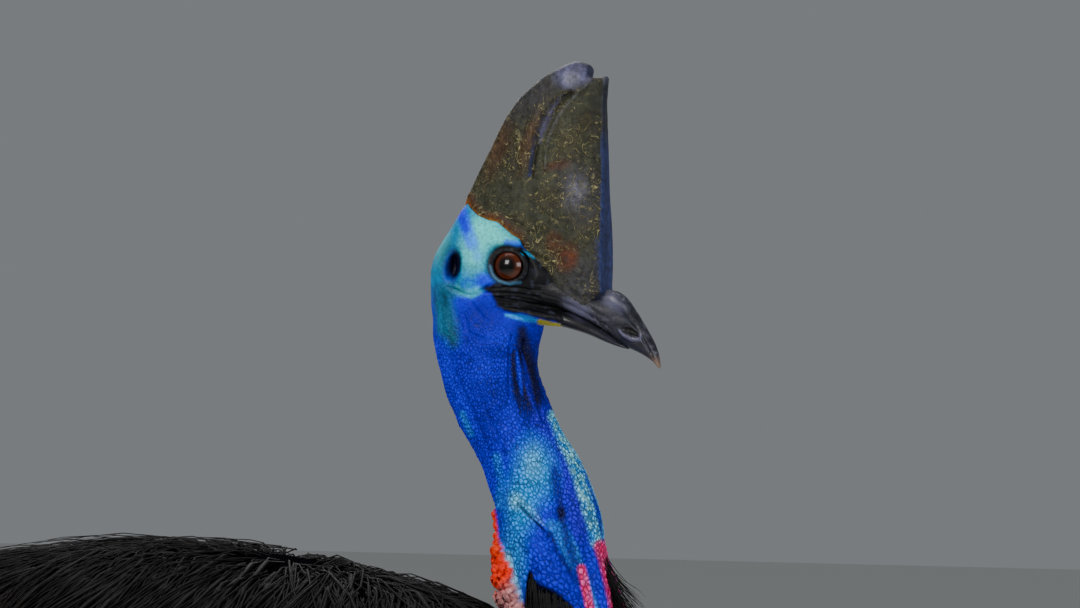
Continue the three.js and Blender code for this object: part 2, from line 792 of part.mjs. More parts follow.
function wing(side, grow = 0) {
  const stubAt = flankPoint(side, WING.forward, WING.turn, COAT.trunk);
  const radii = WING.radii.map((r) => r + grow);
  const stub = ball(radii, stubAt.toArray(), 10, new THREE.Euler(0, 0.5, side * 0.12));
  const quills = steps(0, 1, WING.quills - 1).map((share, i) => {
    const path = steps(0, 1, 4).map((t) => {
      const run = t * (1 - 0.1 * Math.abs(share - 0.4));
      const back = QUILL.spread * share + QUILL.reach * run + QUILL.fan * share * run;
      const turn = WING.turn + 2 + (QUILL.drop - QUILL.close * share) * run;
      const first = COAT.trunk + 6;
      const out = first + (WING.lift - first) * Math.min(1, 2.5 * t) + (i % 2) * 1.5;
      const at = flankPoint(side, WING.forward + QUILL.start - back, turn, out);
      const radius = WING.quillRadius * (1 - QUILL.thin * t);
      return [...at.toArray(), radius, radius];
    });
    return alongPath(path, { count: 4, around: 5, grow });
  });
  return joined([stub, ...quills]);
}

function thighCore(side, grow = 0) {
  return alongPath(legRows(THIGH_ROWS, side), { count: 6, around: 12, grow });
}

// The thigh with the locks that hang round its lower half
function thigh(side) {
  const frame = pathFrames(legRows(THIGH_ROWS, side));
  const draw = seededDraw(23 + side);
  const locks = steps(THIGH_LOCKS.first, THIGH_LOCKS.last, THIGH_LOCKS.rows - 1).flatMap((start, row) =>
    Array.from({ length: THIGH_LOCKS.around }, (_, i) => {
      const turn = ((i + 0.5 * (row % 2)) / THIGH_LOCKS.around) * 2 * Math.PI;
      const length = THIGH_LOCKS.length * vary(draw);
      const outs = [];
      const points = LOCK_STAGES.map((stage, s) => {
        const f = frame(start + stage * length);
        const aside = f.side.clone().multiplyScalar(Math.sin(turn));
        const out = aside.addScaledVector(f.front, Math.cos(turn)).normalize();
        const { sink, rise, lift } = THIGH_LOCKS;
        const lifted = s === 0 ? -sink : THREE.MathUtils.lerp(rise, lift, stage);
        outs.push(out);
        return f.at
          .clone()
          .addScaledVector(f.side, f.wide * Math.sin(turn))
          .addScaledVector(f.front, f.deep * Math.cos(turn))
          .addScaledVector(out, lifted);
      });
      return lock(points, outs, THIGH_LOCKS.wide, THIGH_LOCKS.thick);
    }),
  );
  return joined([thighCore(side), ...locks]).subtract(shank(side, GAP));
}

function legRows(rows, side) {
  const stride = side < 0 ? STRIDE.right : STRIDE.left;
  return rows.map(([x, out, z, deep, wide]) => {
    const share = THREE.MathUtils.clamp((800 - z) / 800, 0, 1);
    return [x + stride * share, side * (HIP_OUT + out), z, deep, wide];
  });
}

// The bare leg, its front stepped by broad scutes that each stand out at the lower edge
function shank(side, grow = 0) {
  const edges = steps(0, 1, SCUTES.count).slice(0, -1);
  const at = edges.flatMap((start) => [start, start + 0.94 / SCUTES.count]);
  const swell = (t) => 1 + SCUTES.step * ((t * SCUTES.count) % 1);
  return alongPath(legRows(SHANK_ROWS, side), { at: [...at, 1], around: 8, grow, swell });
}

function footMiddle(side) {
  const [x, y] = legRows(SHANK_ROWS, side).at(-1);
  return new THREE.Vector3(x, y, 0);
}

function toeDirection(toe, side) {
  const turn = THREE.MathUtils.degToRad(toe.turn) * side;
  return new THREE.Vector3(Math.cos(turn), Math.sin(turn), 0);
}

// A toe with a flat sole and stepped pads, from the palm to its blunt end
function toeShape(toe, side) {
  const ahead = toeDirection(toe, side);
  const across = new THREE.Vector3(-ahead.y, ahead.x, 0);
  const root = footMiddle(side);
  const around = 8;
  const sections = [0, 0.45, 0.6, 0.72, 0.84, 0.94, 1].map((t) => {
    const pad = 1 + 0.07 * Math.sin(t * toe.length * 0.2);
    const end = Math.sqrt(Math.max(1 - Math.max(t - 0.86, 0) ** 2 / 0.024, 0.1));
    const wide = toe.width * (1 - 0.3 * t) * pad * end;
    const high = toe.height * (1 - 0.42 * t) * (2 - pad) * end;
    return Array.from({ length: around }, (_, j) => {
      const turn = (2 * Math.PI * j) / around;
      const z = Math.max(0, high * (0.4 + 0.6 * Math.cos(turn)));
      return root
        .clone()
        .addScaledVector(ahead, toe.length * t)
        .addScaledVector(across, wide * Math.sin(turn))
        .setZ(z);
    });
  });
  return lofted(sections);
}

function claw(toe, side, grow = 0) {
  const ahead = toeDirection(toe, side);
  const across = new THREE.Vector3(-ahead.y, ahead.x, 0);
  const start = footMiddle(side).addScaledVector(ahead, toe.length - 15);
  const sections = steps(0, 1, 5).map((t) => {
    const radius = toe.clawRadius * (1 - t) ** 0.75 + 0.7 + grow;
    const rest = toe.clawRadius + 1.6;
    const height = rest + 3.5 * Math.sin(Math.PI * t) - (rest - 2.6) * t ** 1.6;
    const middle = start.clone().addScaledVector(ahead, (toe.claw + 15) * t).setZ(height);
    return section(middle, across, UP, radius * 0.82, radius, radius, 6);
  });
  return lofted(sections, grow);
}

function palm(side) {
  const at = footMiddle(side);
  const pad = ball(PALM.radii, [at.x + PALM.forward, at.y, PALM.height], 10);
  return keepSide(pad, UP, new THREE.Vector3(0, 0, 0));
}

function addFoot(name, side) {
  const hub = footMiddle(side);
  let middle = palm(side);
  for (const [which, toe] of Object.entries(TOES)) {
    const ahead = toeDirection(toe, side);
    const shape = toeShape(toe, side);
    const cut = hub.clone().addScaledVector(ahead, PALM.toeCut);
    const root = keepSide(shape, ahead.clone().negate(), cut.clone().addScaledVector(ahead, -GAP));
    const front = keepSide(shape, ahead, cut).subtract(claw(toe, side, GAP));
    middle = middle.add(root);
    addNode(`toe_${which}_${name}`, front, "scale");
    addNode(`claw_${which}_${name}`, claw(toe, side), "claw");
  }
  addNode(`foot_${name}`, middle.subtract(shank(side, GAP)), "scale");
}

addNode("casque", casque(), "casque");
addNode("bill_upper", upperBill(), "bill");
addNode("bill_lower", jawShape(), "bill");
addNode("head", head(), "skin");
for (const [name, solid] of neckPieces()) addNode(name, solid, "skin");
let torso = feathered().subtract(neckSpace());
for (const [name, side] of Object.entries(SIDES)) {
  addNode(`eye_${name}`, eyeball(side), "eye");
  addNode(`wattle_${name}`, wattle(side), "wattle");
  addNode(`thigh_${name}`, thigh(side), "feather");
  addNode(`shank_${name}`, shank(side), "scale");
  addFoot(name, side);
  addNode(`wing_${name}`, wing(side), "feather");
  for (const other of [thighCore, wattle, wing]) torso = torso.subtract(other(side, GAP));
}
addNode("torso", torso, "feather");

// The origin is at the floor, below the middle of the whole bird
bird.updateMatrixWorld(true);
const box = new THREE.Box3().setFromObject(bird);
const centre = box.getCenter(new THREE.Vector3());
bird.position.set(-centre.x, -centre.y, 0);

export default bird;
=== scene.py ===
# Looks for a standing southern cassowary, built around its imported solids.
# Metres, +Z up; the bird faces +X and its right side is -Y. Forms are worked out in millimetres,
# with forward distances from just behind the eye, head heights from the eye, body heights from the floor.
import math

import bpy
import numpy as np
import openvdb
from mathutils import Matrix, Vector
from mathutils.kdtree import KDTree


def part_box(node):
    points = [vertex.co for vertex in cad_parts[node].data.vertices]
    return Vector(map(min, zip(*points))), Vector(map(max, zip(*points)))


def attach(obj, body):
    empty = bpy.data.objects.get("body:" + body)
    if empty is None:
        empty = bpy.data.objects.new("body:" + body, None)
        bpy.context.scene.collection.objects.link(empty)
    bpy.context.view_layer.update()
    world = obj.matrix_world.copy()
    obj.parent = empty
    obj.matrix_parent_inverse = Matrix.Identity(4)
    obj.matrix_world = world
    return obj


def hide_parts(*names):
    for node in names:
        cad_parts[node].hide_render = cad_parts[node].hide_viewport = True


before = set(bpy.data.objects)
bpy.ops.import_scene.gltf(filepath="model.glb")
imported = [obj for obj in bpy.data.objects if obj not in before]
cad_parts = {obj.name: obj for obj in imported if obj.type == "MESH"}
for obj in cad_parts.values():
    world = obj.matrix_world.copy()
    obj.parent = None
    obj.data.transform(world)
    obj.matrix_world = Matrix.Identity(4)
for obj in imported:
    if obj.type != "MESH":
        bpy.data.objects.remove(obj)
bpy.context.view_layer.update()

SEED = 20
# The eye from the floor, and the eyeball's middle from the place that forward distances start at
EYE_HEIGHT = 1340.0
EYE_FORWARD = 9.0
eye_low, eye_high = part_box("eye_right")
SHIFT = 500.0 * (eye_low.x + eye_high.x) - EYE_FORWARD

# Camera: level, on the bird's right and a little in front of it
VIEW_ANGLE = math.radians(18.0)
VIEW_DISTANCE = 2.6
VIEW_WIDTH = 0.842
VIEW_CENTRE = ((SHIFT + 23.0) / 1000, 0.0075, 1.3104)
SENSOR = 36.0

camera_data = bpy.data.cameras.new("camera")
camera_data.sensor_width = SENSOR
camera_data.lens = SENSOR * VIEW_DISTANCE / VIEW_WIDTH
camera_data.clip_end = 60.0
camera = bpy.data.objects.new("camera", camera_data)
camera.location = (
    VIEW_CENTRE[0] + VIEW_DISTANCE * math.sin(VIEW_ANGLE),
    VIEW_CENTRE[1] - VIEW_DISTANCE * math.cos(VIEW_ANGLE),
    VIEW_CENTRE[2],
)
camera.rotation_euler = (math.pi / 2, 0.0, VIEW_ANGLE)
bpy.context.scene.collection.objects.link(camera)
bpy.context.scene.camera = camera

# Head: rows of forward, top, bottom, half width
HEAD_ROWS = [
    (-63, -10, -32, 3),
    (-61, 5, -44, 11),
    (-56, 16, -53, 19),
    (-48, 28, -58, 25),
    (-37, 45, -60, 29.5),
    (-25, 58, -58, 31.5),
    (-8, 62, -50, 31.5),
    (10, 49, -41, 29),
    (25, 26, -37, 25),
    (38, 8, -34, 21.5),
    (50, -4, -36, 18.5),
    (62, -14, -40, 15),
]
# Neck: rows of height, middle, half depth, half width
NECK_ROWS = [
    (4, -22, 30, 24),
    (-20, -20, 40, 28),
    (-45, -17, 45, 30),
    (-60, -17.6, 42.5, 31),
    (-77, -16.8, 40, 32),
    (-93, -12.3, 39.5, 33),
    (-112, -4.5, 39.5, 34),
    (-128, 3, 39.5, 35),
    (-143, 12, 40, 35.5),
    (-159, 21, 40.5, 36),
    (-175, 27, 41, 36.5),
    (-190, 32, 41, 37),
    (-206, 35.3, 41, 37.5),
    (-237, 41, 40.5, 37.5),
    (-267, 47, 40.5, 38),
    (-290, 46, 43.5, 42),
    (-330, 34, 56, 54),
    (-352, 22, 66, 64),
]
# Jaw: rows of forward, top, bottom, half width
JAW_ROWS = [
    (-16, -25, -36, 20),
    (-8, -26, -38, 24),
    (4, -26.7, -39.5, 25),
    (15, -28.4, -42, 24),
    (30, -31.2, -46, 21.5),
    (45, -34, -47.8, 18.6),
    (58, -38.8, -50.6, 15.8),
    (70, -44.8, -54.8, 13),
    (80, -50.8, -59, 10.8),
    (90, -58, -62.6, 7.8),
    (97, -62.2, -64.4, 3),
]
# Upper bill: rows of forward, top, bottom, half width
BILL_ROWS = [
    (24, 12, -30.5, 23.4),
    (30, 8, -31.5, 22.2),
    (45, -4, -34.5, 19.6),
    (60, -14, -40, 17.2),
    (72, -18, -46.5, 15.3),
    (82, -19.2, -52.6, 13.6),
    (90, -21, -58.8, 12.2),
    (98, -28, -63.6, 10.9),
    (106, -39.8, -67.2, 9.2),
    (113, -51, -71, 7.4),
    (118, -59.5, -75, 5.4),
    (121, -66.5, -78.6, 3.4),
    (122.6, -73.5, -79.2, 1.2),
]
# Casque: half thickness by height, and its side outline
CASQUE_THICK = [
    (-40, 14), (-20, 16.8), (5, 19.5), (35, 21), (58, 19.5), (90, 16), (122, 13), (139, 11.4),
    (150, 10), (165, 8.5),
]
CASQUE_OUTLINE = [
    (-34, 51.5), (-31.6, 57.7), (-23.5, 74.9), (-15.4, 90.5), (-7.3, 107.6), (0.8, 121.7), (8.9, 131.8),
    (17, 138.8), (29.2, 148.2), (37.3, 152.9), (45.4, 156), (53.6, 158), (60, 157.6), (65.7, 155.2),
    (68.2, 151.3), (66.8, 145.9), (73.8, 145), (79.5, 147.4), (81.5, 145), (80.6, 137.3), (79.6, 125.6),
    (80.1, 80), (80.3, 30), (80.3, -20.5), (66, -33), (52, -30), (40, -20), (24, -3), (10, 6), (-2, 16),
    (-14, 24), (-28, 30), (-34, 40),
]
# Where casque and skin meet on the side
CASQUE_LINE = [
    (-40, 57), (-34, 51.5), (-31.6, 45.2), (-25.2, 39), (-17, 35.5), (-8.9, 33.9), (-3.2, 28.9),
    (2.4, 24.2), (8.9, 21), (11.4, 14.8), (21.1, 7.8), (29.2, 4.7), (34.9, 0), (43, -10.9),
    (51.1, -20.3), (60, -26), (84, -19),
]
# Middle of the eyeball out to the side, and its radius
EYE_SIDE = 17.5
EYE_RADIUS = 15.5
# Where the bill's horn covers the face: forward, height, slant
BILL_ROOT = (38.0, -8.0, 0.45)

# Wattles: rows of forward, side, height, half depth, half width
WATTLE_ROWS = [
    (70, 12, -212, 3.0, 3.0),
    (77, 15, -240, 4.8, 4.6),
    (82.5, 17.5, -264, 6.4, 5.6),
    (92, 21, -292, 9.5, 7),
    (106, 24, -325, 14.5, 8.2),
    (114, 25, -358, 16, 8.2),
    (113, 25.5, -384, 12, 6.4),
    (111, 25.5, -399, 4, 2.4),
]

# Under the coat. Neck base: rows of height, middle, half depth, half width. Trunk: rows of forward,
# top, bottom, half width
COLLAR_ROWS = [
    (-262, 48, 42, 39),
    (-290, 45, 46, 43),
    (-330, 34, 58, 56),
    (-380, 6, 88, 84),
    (-440, -44, 122, 112),
]
TORSO_ROWS = [
    (78, 955, 900, 14),
    (64, 995, 845, 60),
    (36, 1030, 788, 100),
    (0, 1055, 742, 130),
    (-50, 1078, 695, 162),
    (-100, 1093, 665, 184),
    (-180, 1108, 640, 204),
    (-280, 1115, 625, 212),
    (-380, 1108, 625, 208),
    (-480, 1082, 640, 188),
    (-560, 1042, 670, 158),
    (-620, 990, 705, 125),
    (-670, 925, 740, 85),
    (-695, 870, 775, 45),
    (-706, 832, 800, 8),
]
HIP_OUT = 108.0
STRIDE = {"right": 34.0, "left": -34.0}
SIDES = {"right": -1.0, "left": 1.0}
# Leg rows of forward, out to the side, height, half depth, half width
THIGH_ROWS = [
    (-266, -8, 800, 88, 58),
    (-256, 4, 720, 94, 62),
    (-272, 10, 640, 74, 54),
    (-313, 8, 560, 47, 42),
    (-356, 5, 498, 34, 33),
]
SHANK_ROWS = [
    (-345, 5, 540, 30, 28),
    (-352, 5, 512, 29, 27),
    (-372, 4, 462, 27, 25),
    (-386, 2, 420, 29, 27),
    (-393, 0, 388, 33, 30),
    (-388, 0, 352, 28, 25),
    (-382, 1, 300, 23.5, 21),
    (-374, 3, 220, 22, 20),
    (-365, 5, 140, 23, 21),
    (-357, 6, 80, 27, 25),
    (-352, 6, 34, 30, 27),
    (-350, 6, 10, 28, 25),
]
# Toes: turn in degrees, length, half width, height, claw length, claw radius
TOES = {
    "inner": (-30, 98, 17, 34, 104, 9.6),
    "middle": (4, 158, 19, 38, 50, 8.6),
    "outer": (36, 120, 16.5, 33, 42, 7.8),
}
# Ball of the foot: forward of the shank, height, radii
PALM = (10.0, 22.0, (38.0, 31.0, 28.0))

# Coat: how far loose ends stand off, and how the plumes of the rump droop, hang and grow longer
COAT_TRUNK = 37.0
COAT_COLLAR = 12.0
RUMP_FROM = -400.0
RUMP_TO = -700.0
RUMP_DROOP = 0.4
RUMP_LONGER = 0.36
RUMP_HANG = 0.75
# Wing quills: forward distance and turn from the top in degrees of the first root
WING = (-130.0, 84.0)
QUILLS = 5
# Locks of strands on trunk and neck base, and their length
TRUNK_LOCKS = 1100
COLLAR_LOCKS = 260
LOCK_LENGTH = 205
COLLAR_SHORTER = 0.47


def smooth_step(x, low, high):
    """From 0 at low to 1 at high, level at both ends."""
    t = np.clip((x - low) / (high - low), 0.0, 1.0)
    return t * t * (3 - 2 * t)


def follow(rows, keys):
    """The columns of a table at the keys, smooth between its rows."""
    table = np.array(rows, float)
    if table[-1, 0] < table[0, 0]:
        table = table[::-1]
    key = table[:, 0]
    k = np.clip(np.asarray(keys, float), key[0], key[-1])
    i = np.clip(np.searchsorted(key, k) - 1, 0, len(key) - 2)
    before = np.maximum(np.arange(len(key)) - 1, 0)
    after = np.minimum(np.arange(len(key)) + 1, len(key) - 1)
    slope = (table[after, 1:] - table[before, 1:]) / (key[after] - key[before])[:, None]
    span = (key[i + 1] - key[i])[..., None]
    t = ((k - key[i])[..., None]) / span
    a, b = table[i, 1:], table[i + 1, 1:]
    return (
        (2 * t**3 - 3 * t**2 + 1) * a
        + (t**3 - 2 * t**2 + t) * span * slope[i]
        + (-2 * t**3 + 3 * t**2) * b
        + (t**3 - t**2) * span * slope[i + 1]
    )


def along_line(points, u, v):
    """Distance of (u, v) from a polyline, and the share of the way along it."""
    line = np.array(points, float)
    lengths = np.hypot(*np.diff(line, axis=0).T)
    total = lengths.sum()
    best = np.full(u.shape, 1e9)
    share = np.zeros(u.shape)
    run = 0.0
    for (ax, ay), (bx, by), length in zip(line[:-1], line[1:], lengths):
        dx, dy = (bx - ax) / length, (by - ay) / length
        t = np.clip((u - ax) * dx + (v - ay) * dy, 0.0, length)
        d = np.hypot(u - ax - t * dx, v - ay - t * dy)
        closer = d < best
        best = np.where(closer, d, best)
        share = np.where(closer, (run + t) / total, share)
        run += length
    return best, share


def in_outline(points, u, v):
    """Signed distance to a closed outline, negative inside."""
    ring = list(points) + [points[0]]
    distance, _ = along_line(ring, u, v)
    inside = np.zeros(u.shape, bool)
    for (ax, ay), (bx, by) in zip(ring[:-1], ring[1:]):
        if ay == by:
            continue
        crosses = (ay > v) != (by > v)
        inside ^= crosses & (u < (bx - ax) * (v - ay) / (by - ay) + ax)
    return np.where(inside, -distance, distance)


def soft_min(a, b, k):
    """The smaller of two, rounded over a width k."""
    h = np.clip(0.5 + 0.5 * (b - a) / k, 0.0, 1.0)
    return b * (1 - h) + a * h - k * h * (1 - h)


def soft_max(a, b, k):
    return -soft_min(-a, -b, k)


def ball_field(x, y, z, at, radii):
    """Rough distance to an oval ball."""
    px, py, pz = (x - at[0]) / radii[0], (y - at[1]) / radii[1], (z - at[2]) / radii[2]
    r = np.sqrt(px**2 + py**2 + pz**2) + 1e-6
    return (r - 1) * min(radii)


def loft_field(rows, key, across, other, pinch=0.0, widest=None, standing=False):
    """Rough distance to a loft. Standing lofts have rows of middle, half depth, half width;
    lying lofts have rows of top, bottom, half width."""
    first = follow(rows, key)
    low, high = min(r[0] for r in rows), max(r[0] for r in rows)
    if standing:
        middle, deep, wide = first[..., 0], first[..., 1], first[..., 2]
        u = (other - middle) / deep
        offset = other - middle
    else:
        top, bottom, wide = first[..., 0], first[..., 1], first[..., 2]
        level = (top + bottom) / 2
        if widest is not None:
            level = np.minimum(np.maximum(widest, bottom + 3), top - 3)
        offset = other - level
        rise, fall = np.maximum(top - level, 1), np.maximum(level - bottom, 1)
        u = np.where(offset > 0, offset / rise, offset / fall)
    v = across / (wide * (1 - pinch * np.clip(u, 0, 1) ** 2))
    r = np.hypot(u, v) + 1e-6
    reach = np.hypot(offset, across)
    inside = np.minimum(1.0, reach / r)
    distance = np.where(reach > 0.5, reach * (1 - 1 / r), -inside)
    beyond = np.maximum(low - key, key - high)
    return np.maximum(distance, beyond)


def surface_of(field, axes, low, size, rounds):
    """Points and quads of the zero surface of a field sampled on a grid, facing out and relaxed."""
    field = np.broadcast_to(field, [axis.size for axis in axes])
    grid = openvdb.FloatGrid(float(field.max()))
    grid.copyFromArray(np.ascontiguousarray(field, dtype=np.float32))
    points, quads = grid.convertToQuads(isovalue=0.0)
    points = np.asarray(points, float) * size + np.array(low)
    quads = outward(points, np.asarray(quads, np.int64))
    return relaxed(points, quads, rounds), quads


def grid_of(low, high, size):
    """Coordinates of a box of samples, one array an axis."""
    axes = [np.arange(a, b + size, size, dtype=np.float32) for a, b in zip(low, high)]
    return np.meshgrid(*axes, indexing="ij", sparse=True)


def face_normals(points, quads):
    a, b, c, d = (points[quads[:, i]] for i in range(4))
    return np.cross(c - a, d - b)


def vertex_normals(points, quads):
    n = face_normals(points, quads)
    total = np.zeros_like(points)
    for i in range(4):
        np.add.at(total, quads[:, i], n)
    return total / (np.linalg.norm(total, axis=1, keepdims=True) + 1e-9)


def outward(points, quads):
    """The quads turned so that they face out."""
    middle = points[quads].mean(1)
    volume = (face_normals(points, quads) * middle).sum()
    return quads if volume > 0 else quads[:, ::-1]


def relaxed(points, quads, rounds, share=0.5):
    """Points moved towards the middle of their neighbours."""
    edges = np.vstack([quads[:, [i, (i + 1) % 4]] for i in range(4)])
    count = np.zeros(len(points))
    np.add.at(count, edges[:, 0], 1)
    np.add.at(count, edges[:, 1], 1)
    for _ in range(rounds):
        total = np.zeros_like(points)
        np.add.at(total, edges[:, 0], points[edges[:, 1]])
        np.add.at(total, edges[:, 1], points[edges[:, 0]])
        points = points + share * (total / count[:, None] - points)
    return points


def place(points):
    """Millimetres from the eye's place, heights from the floor, to metres in the frame."""
    out = np.array(points, float)
    out[:, 0] += SHIFT
    return out / 1000.0


def mesh_object(name, points, faces):
    """A smooth object from points in metres and faces with the same number of sides."""
    mesh = bpy.data.meshes.new(name)
    faces = np.asarray(faces, np.int32)
    sides = faces.shape[1]
    mesh.vertices.add(len(points))
    mesh.vertices.foreach_set("co", np.asarray(points, np.float32).ravel())
    mesh.loops.add(faces.size)
    mesh.loops.foreach_set("vertex_index", faces.ravel())
    mesh.polygons.add(len(faces))
    mesh.polygons.foreach_set("loop_start", np.arange(0, faces.size, sides, dtype=np.int32))
    mesh.update(calc_edges=True)
    mesh.validate()
    mesh.polygons.foreach_set("use_smooth", np.ones(len(faces), bool))
    obj = bpy.data.objects.new(name, mesh)
    bpy.context.scene.collection.objects.link(obj)
    return obj


def paint(obj, name, values):
    """A colour attribute, from one colour a point."""
    layer = obj.data.color_attributes.new(name, "FLOAT_COLOR", "POINT")
    rgba = np.ones((len(values), 4), np.float32)
    rgba[:, :3] = values
    layer.data.foreach_set("color", rgba.ravel())


def measure(obj, name, values):
    layer = obj.data.attributes.new(name, "FLOAT", "POINT")
    layer.data.foreach_set("value", np.asarray(values, np.float32))


def direct(obj, name, values):
    layer = obj.data.attributes.new(name, "FLOAT_VECTOR", "POINT")
    layer.data.foreach_set("vector", np.asarray(values, np.float32).ravel())


def colour(code):
    """A linear colour from six hex digits."""
    parts = [int(code[i : i + 2], 16) / 255 for i in (0, 2, 4)]
    return np.array([c / 12.92 if c <= 0.04045 else ((c + 0.055) / 1.055) ** 2.4 for c in parts])


def noise3(p, scale, seed=0):
    """Smooth value noise from 0 to 1 at points in millimetres."""
    q = p / scale + 31.7 * seed
    cell = np.floor(q).astype(np.int64)
    f = q - cell
    f = f * f * (3 - 2 * f)
    total = np.zeros(len(p))
    for corner in range(8):
        step = np.array([corner & 1, corner >> 1 & 1, corner >> 2 & 1])
        c = cell + step
        h = (c[:, 0] * 73856093) ^ (c[:, 1] * 19349663) ^ (c[:, 2] * 83492791) ^ (seed * 2654435)
        h = (h ^ (h >> 13)) * 1274126177 & 0x7FFFFFFF
        weight = np.prod(np.where(step == 1, f, 1 - f), axis=1)
        total += weight * ((h >> 8) % 65536) / 65535.0
    return total


def pebbled(points, spacing, seed):
    """Height from 0 at the creases to 1 at the tops of pebbles about a spacing apart.
    The pebbles are cells of a jittered grid."""
    rng = np.random.default_rng(seed)
    table = rng.random((64, 64, 64, 3))
    q = points / spacing
    base = np.floor(q).astype(int)
    nearest = np.full(len(points), 1e9)
    following = np.full(len(points), 1e9)
    for dx in (-1, 0, 1):
        for dy in (-1, 0, 1):
            for dz in (-1, 0, 1):
                cell = base + np.array([dx, dy, dz])
                centre = cell + 0.1 + 0.8 * table[cell[:, 0] % 64, cell[:, 1] % 64, cell[:, 2] % 64]
                d = np.linalg.norm(q - centre, axis=1)
                following = np.where(d < nearest, nearest, np.minimum(following, d))
                nearest = np.minimum(nearest, d)
    return np.clip((following - nearest) * 1.6, 0.0, 1.0)


# Marks have places (u, v) on the side outline. u is the forward distance less a share of the distance
# out to the side, so that a mark wraps round the head as seen from a little in front
SIDE_SLANT = 0.325


def side_view(points):
    return points[:, 0] - SIDE_SLANT * np.abs(points[:, 1]), points[:, 2]


def stroke(points_uv, line, width, soft=0.5, taper=0.0):
    """Strength from 0 to 1 of a brush stroke along a line of (u, v)."""
    u, v = points_uv
    distance, share = along_line(line, u, v)
    wide = width * (1 - taper * np.abs(2 * share - 1) ** 2)
    return 1 - smooth_step(distance, wide * (1 - soft), wide * (1 + soft))


def dab(points_uv, at, radii, soft=0.6, turn=0.0):
    """Strength from 0 to 1 of an oval patch."""
    u, v = points_uv[0] - at[0], points_uv[1] - at[1]
    c, s = math.cos(turn), math.sin(turn)
    r = np.hypot((u * c + v * s) / radii[0], (v * c - u * s) / radii[1])
    return 1 - smooth_step(r, 1 - soft, 1 + soft)


HEAD_VOXEL = 1.05
NECK_END = -343.0
# Places and radii of the soft forms of the head
CHEEK_LOBE = ((-25, 21, -5), (27, 11.5, 22))
BROW = ((4, 22, 16), (18, 9.5, 7.5))
EYE_HOLLOW = ((9, 38, 0), (21, 10.5, 18.5))
LID_RADIUS = 13.4
LID_OUT = 27.8
LID_THICK = 2.6
EAR = (-38.0, -1.0)
EAR_TILT = 0.16


def head_field(x, y, z):
    """Head, neck and the fleshy hind part of the jaws as one smooth body."""
    ay = np.abs(y)
    skull = loft_field(HEAD_ROWS, x, y, z, pinch=0.2, widest=-8)
    neck = loft_field(NECK_ROWS, z, y, x, pinch=0.22, standing=True)
    body = soft_min(skull, neck, 5.0)
    jaw = loft_field(JAW_ROWS, x, y, z)
    body = soft_min(body, jaw + smooth_step(x, 40, 84) * 4.0, 1.5)
    # The bill's horn covers the face ahead of its root
    ahead = (x - BILL_ROOT[0]) + BILL_ROOT[2] * (z - BILL_ROOT[1])
    body = body + smooth_step(ahead, -3.0, 5.0) * 2.2
    # Cheek lobe under the ear and behind the eye
    body = soft_min(body, ball_field(x, ay, z, *CHEEK_LOBE), 4.0)
    # Brow above the eye
    body = soft_min(body, ball_field(x, ay, z, *BROW), 4.0)
    # Hollow round the eye, then the lids
    body = soft_max(body, -ball_field(x, ay, z, *EYE_HOLLOW), 3.0)
    ex, ez = (x - EYE_FORWARD) / 1.05, (z + 1.0) / 0.9
    ring = np.hypot(np.hypot(ex, ez) - LID_RADIUS, ay - LID_OUT) - LID_THICK
    body = soft_min(body, ring, 1.6)
    ball = np.sqrt((x - EYE_FORWARD) ** 2 + (ay - EYE_SIDE) ** 2 + z**2) - EYE_RADIUS
    body = soft_max(body, -(ball - 0.25), 0.6)
    # Ear: a shallow dish with a deep hole
    c, s = math.cos(EAR_TILT), math.sin(EAR_TILT)
    dx, dz = x - EAR[0], z - EAR[1]
    ux, uz = dx * c - dz * s, dx * s + dz * c
    dish = (np.sqrt((ux / 9.5) ** 2 + (uz / 16) ** 2 + ((ay - 34) / 7.5) ** 2) - 1) * 7.5
    body = soft_max(body, -dish, 3.0)
    hole = (np.sqrt((ux / 4.6) ** 2 + (uz / 10.6) ** 2 + ((ay - 30) / 12) ** 2) - 1) * 4.6
    body = soft_max(body, -hole, 1.4)
    # The skin ends where the casque's horn begins
    u = x - SIDE_SLANT * ay
    line = np.interp(u, [p[0] for p in CASQUE_LINE], [p[1] for p in CASQUE_LINE])
    return soft_max(body, (z - line) * 0.75, 1.6)


def tube_table(rows, z):
    """A tube's middle forward and sideways, half depth and half width at heights."""
    return follow([(r[2], r[0], r[1], r[3], r[4]) for r in rows], z)


def tube_parts(rows, x, y, z):
    """Rough distance to a tube's side, and the height past its ends. The rows are forward, side,
    height, half depth, half width."""
    r = tube_table(rows, z)
    mx, my, deep, wide = (r[..., i] for i in range(4))
    u, v = (x - mx) / deep, (y - my) / wide
    rr = np.hypot(u, v) + 1e-6
    reach = np.hypot(x - mx, y - my)
    distance = np.where(reach > 0.5, reach * (1 - 1 / rr), -1.0)
    heights = [row[2] for row in rows]
    return distance, np.maximum(min(heights) - z, z - max(heights))


def wattle_field(x, y, z):
    """Both wattles, soft at their ends."""
    distance, beyond = tube_parts(WATTLE_ROWS, x, np.abs(y), z)
    return soft_max(distance, beyond, 4.0)


def build_head():
    """Head, neck and wattles as one surface. The neck ends inside the trunk, the wattles hang on."""
    low, high = (-76.0, -68.0, -404.0), (134.0, 68.0, 76.0)
    x, y, z = grid_of(low, high, HEAD_VOXEL)
    field = np.maximum(head_field(x, y, z), NECK_END - z)
    field = soft_min(field, wattle_field(x, y, z), 5.0)
    return surface_of(field, (x, y, z), low, HEAD_VOXEL, 3)


CHEEK_FOLD = [
    (-67.3, -17.7), (-51.1, -15.8), (-46, -18.1), (-37.9, -22), (-30.8, -24.6), (-23.7, -21.6),
    (-19.1, -17.2), (-15, -13.3),
]
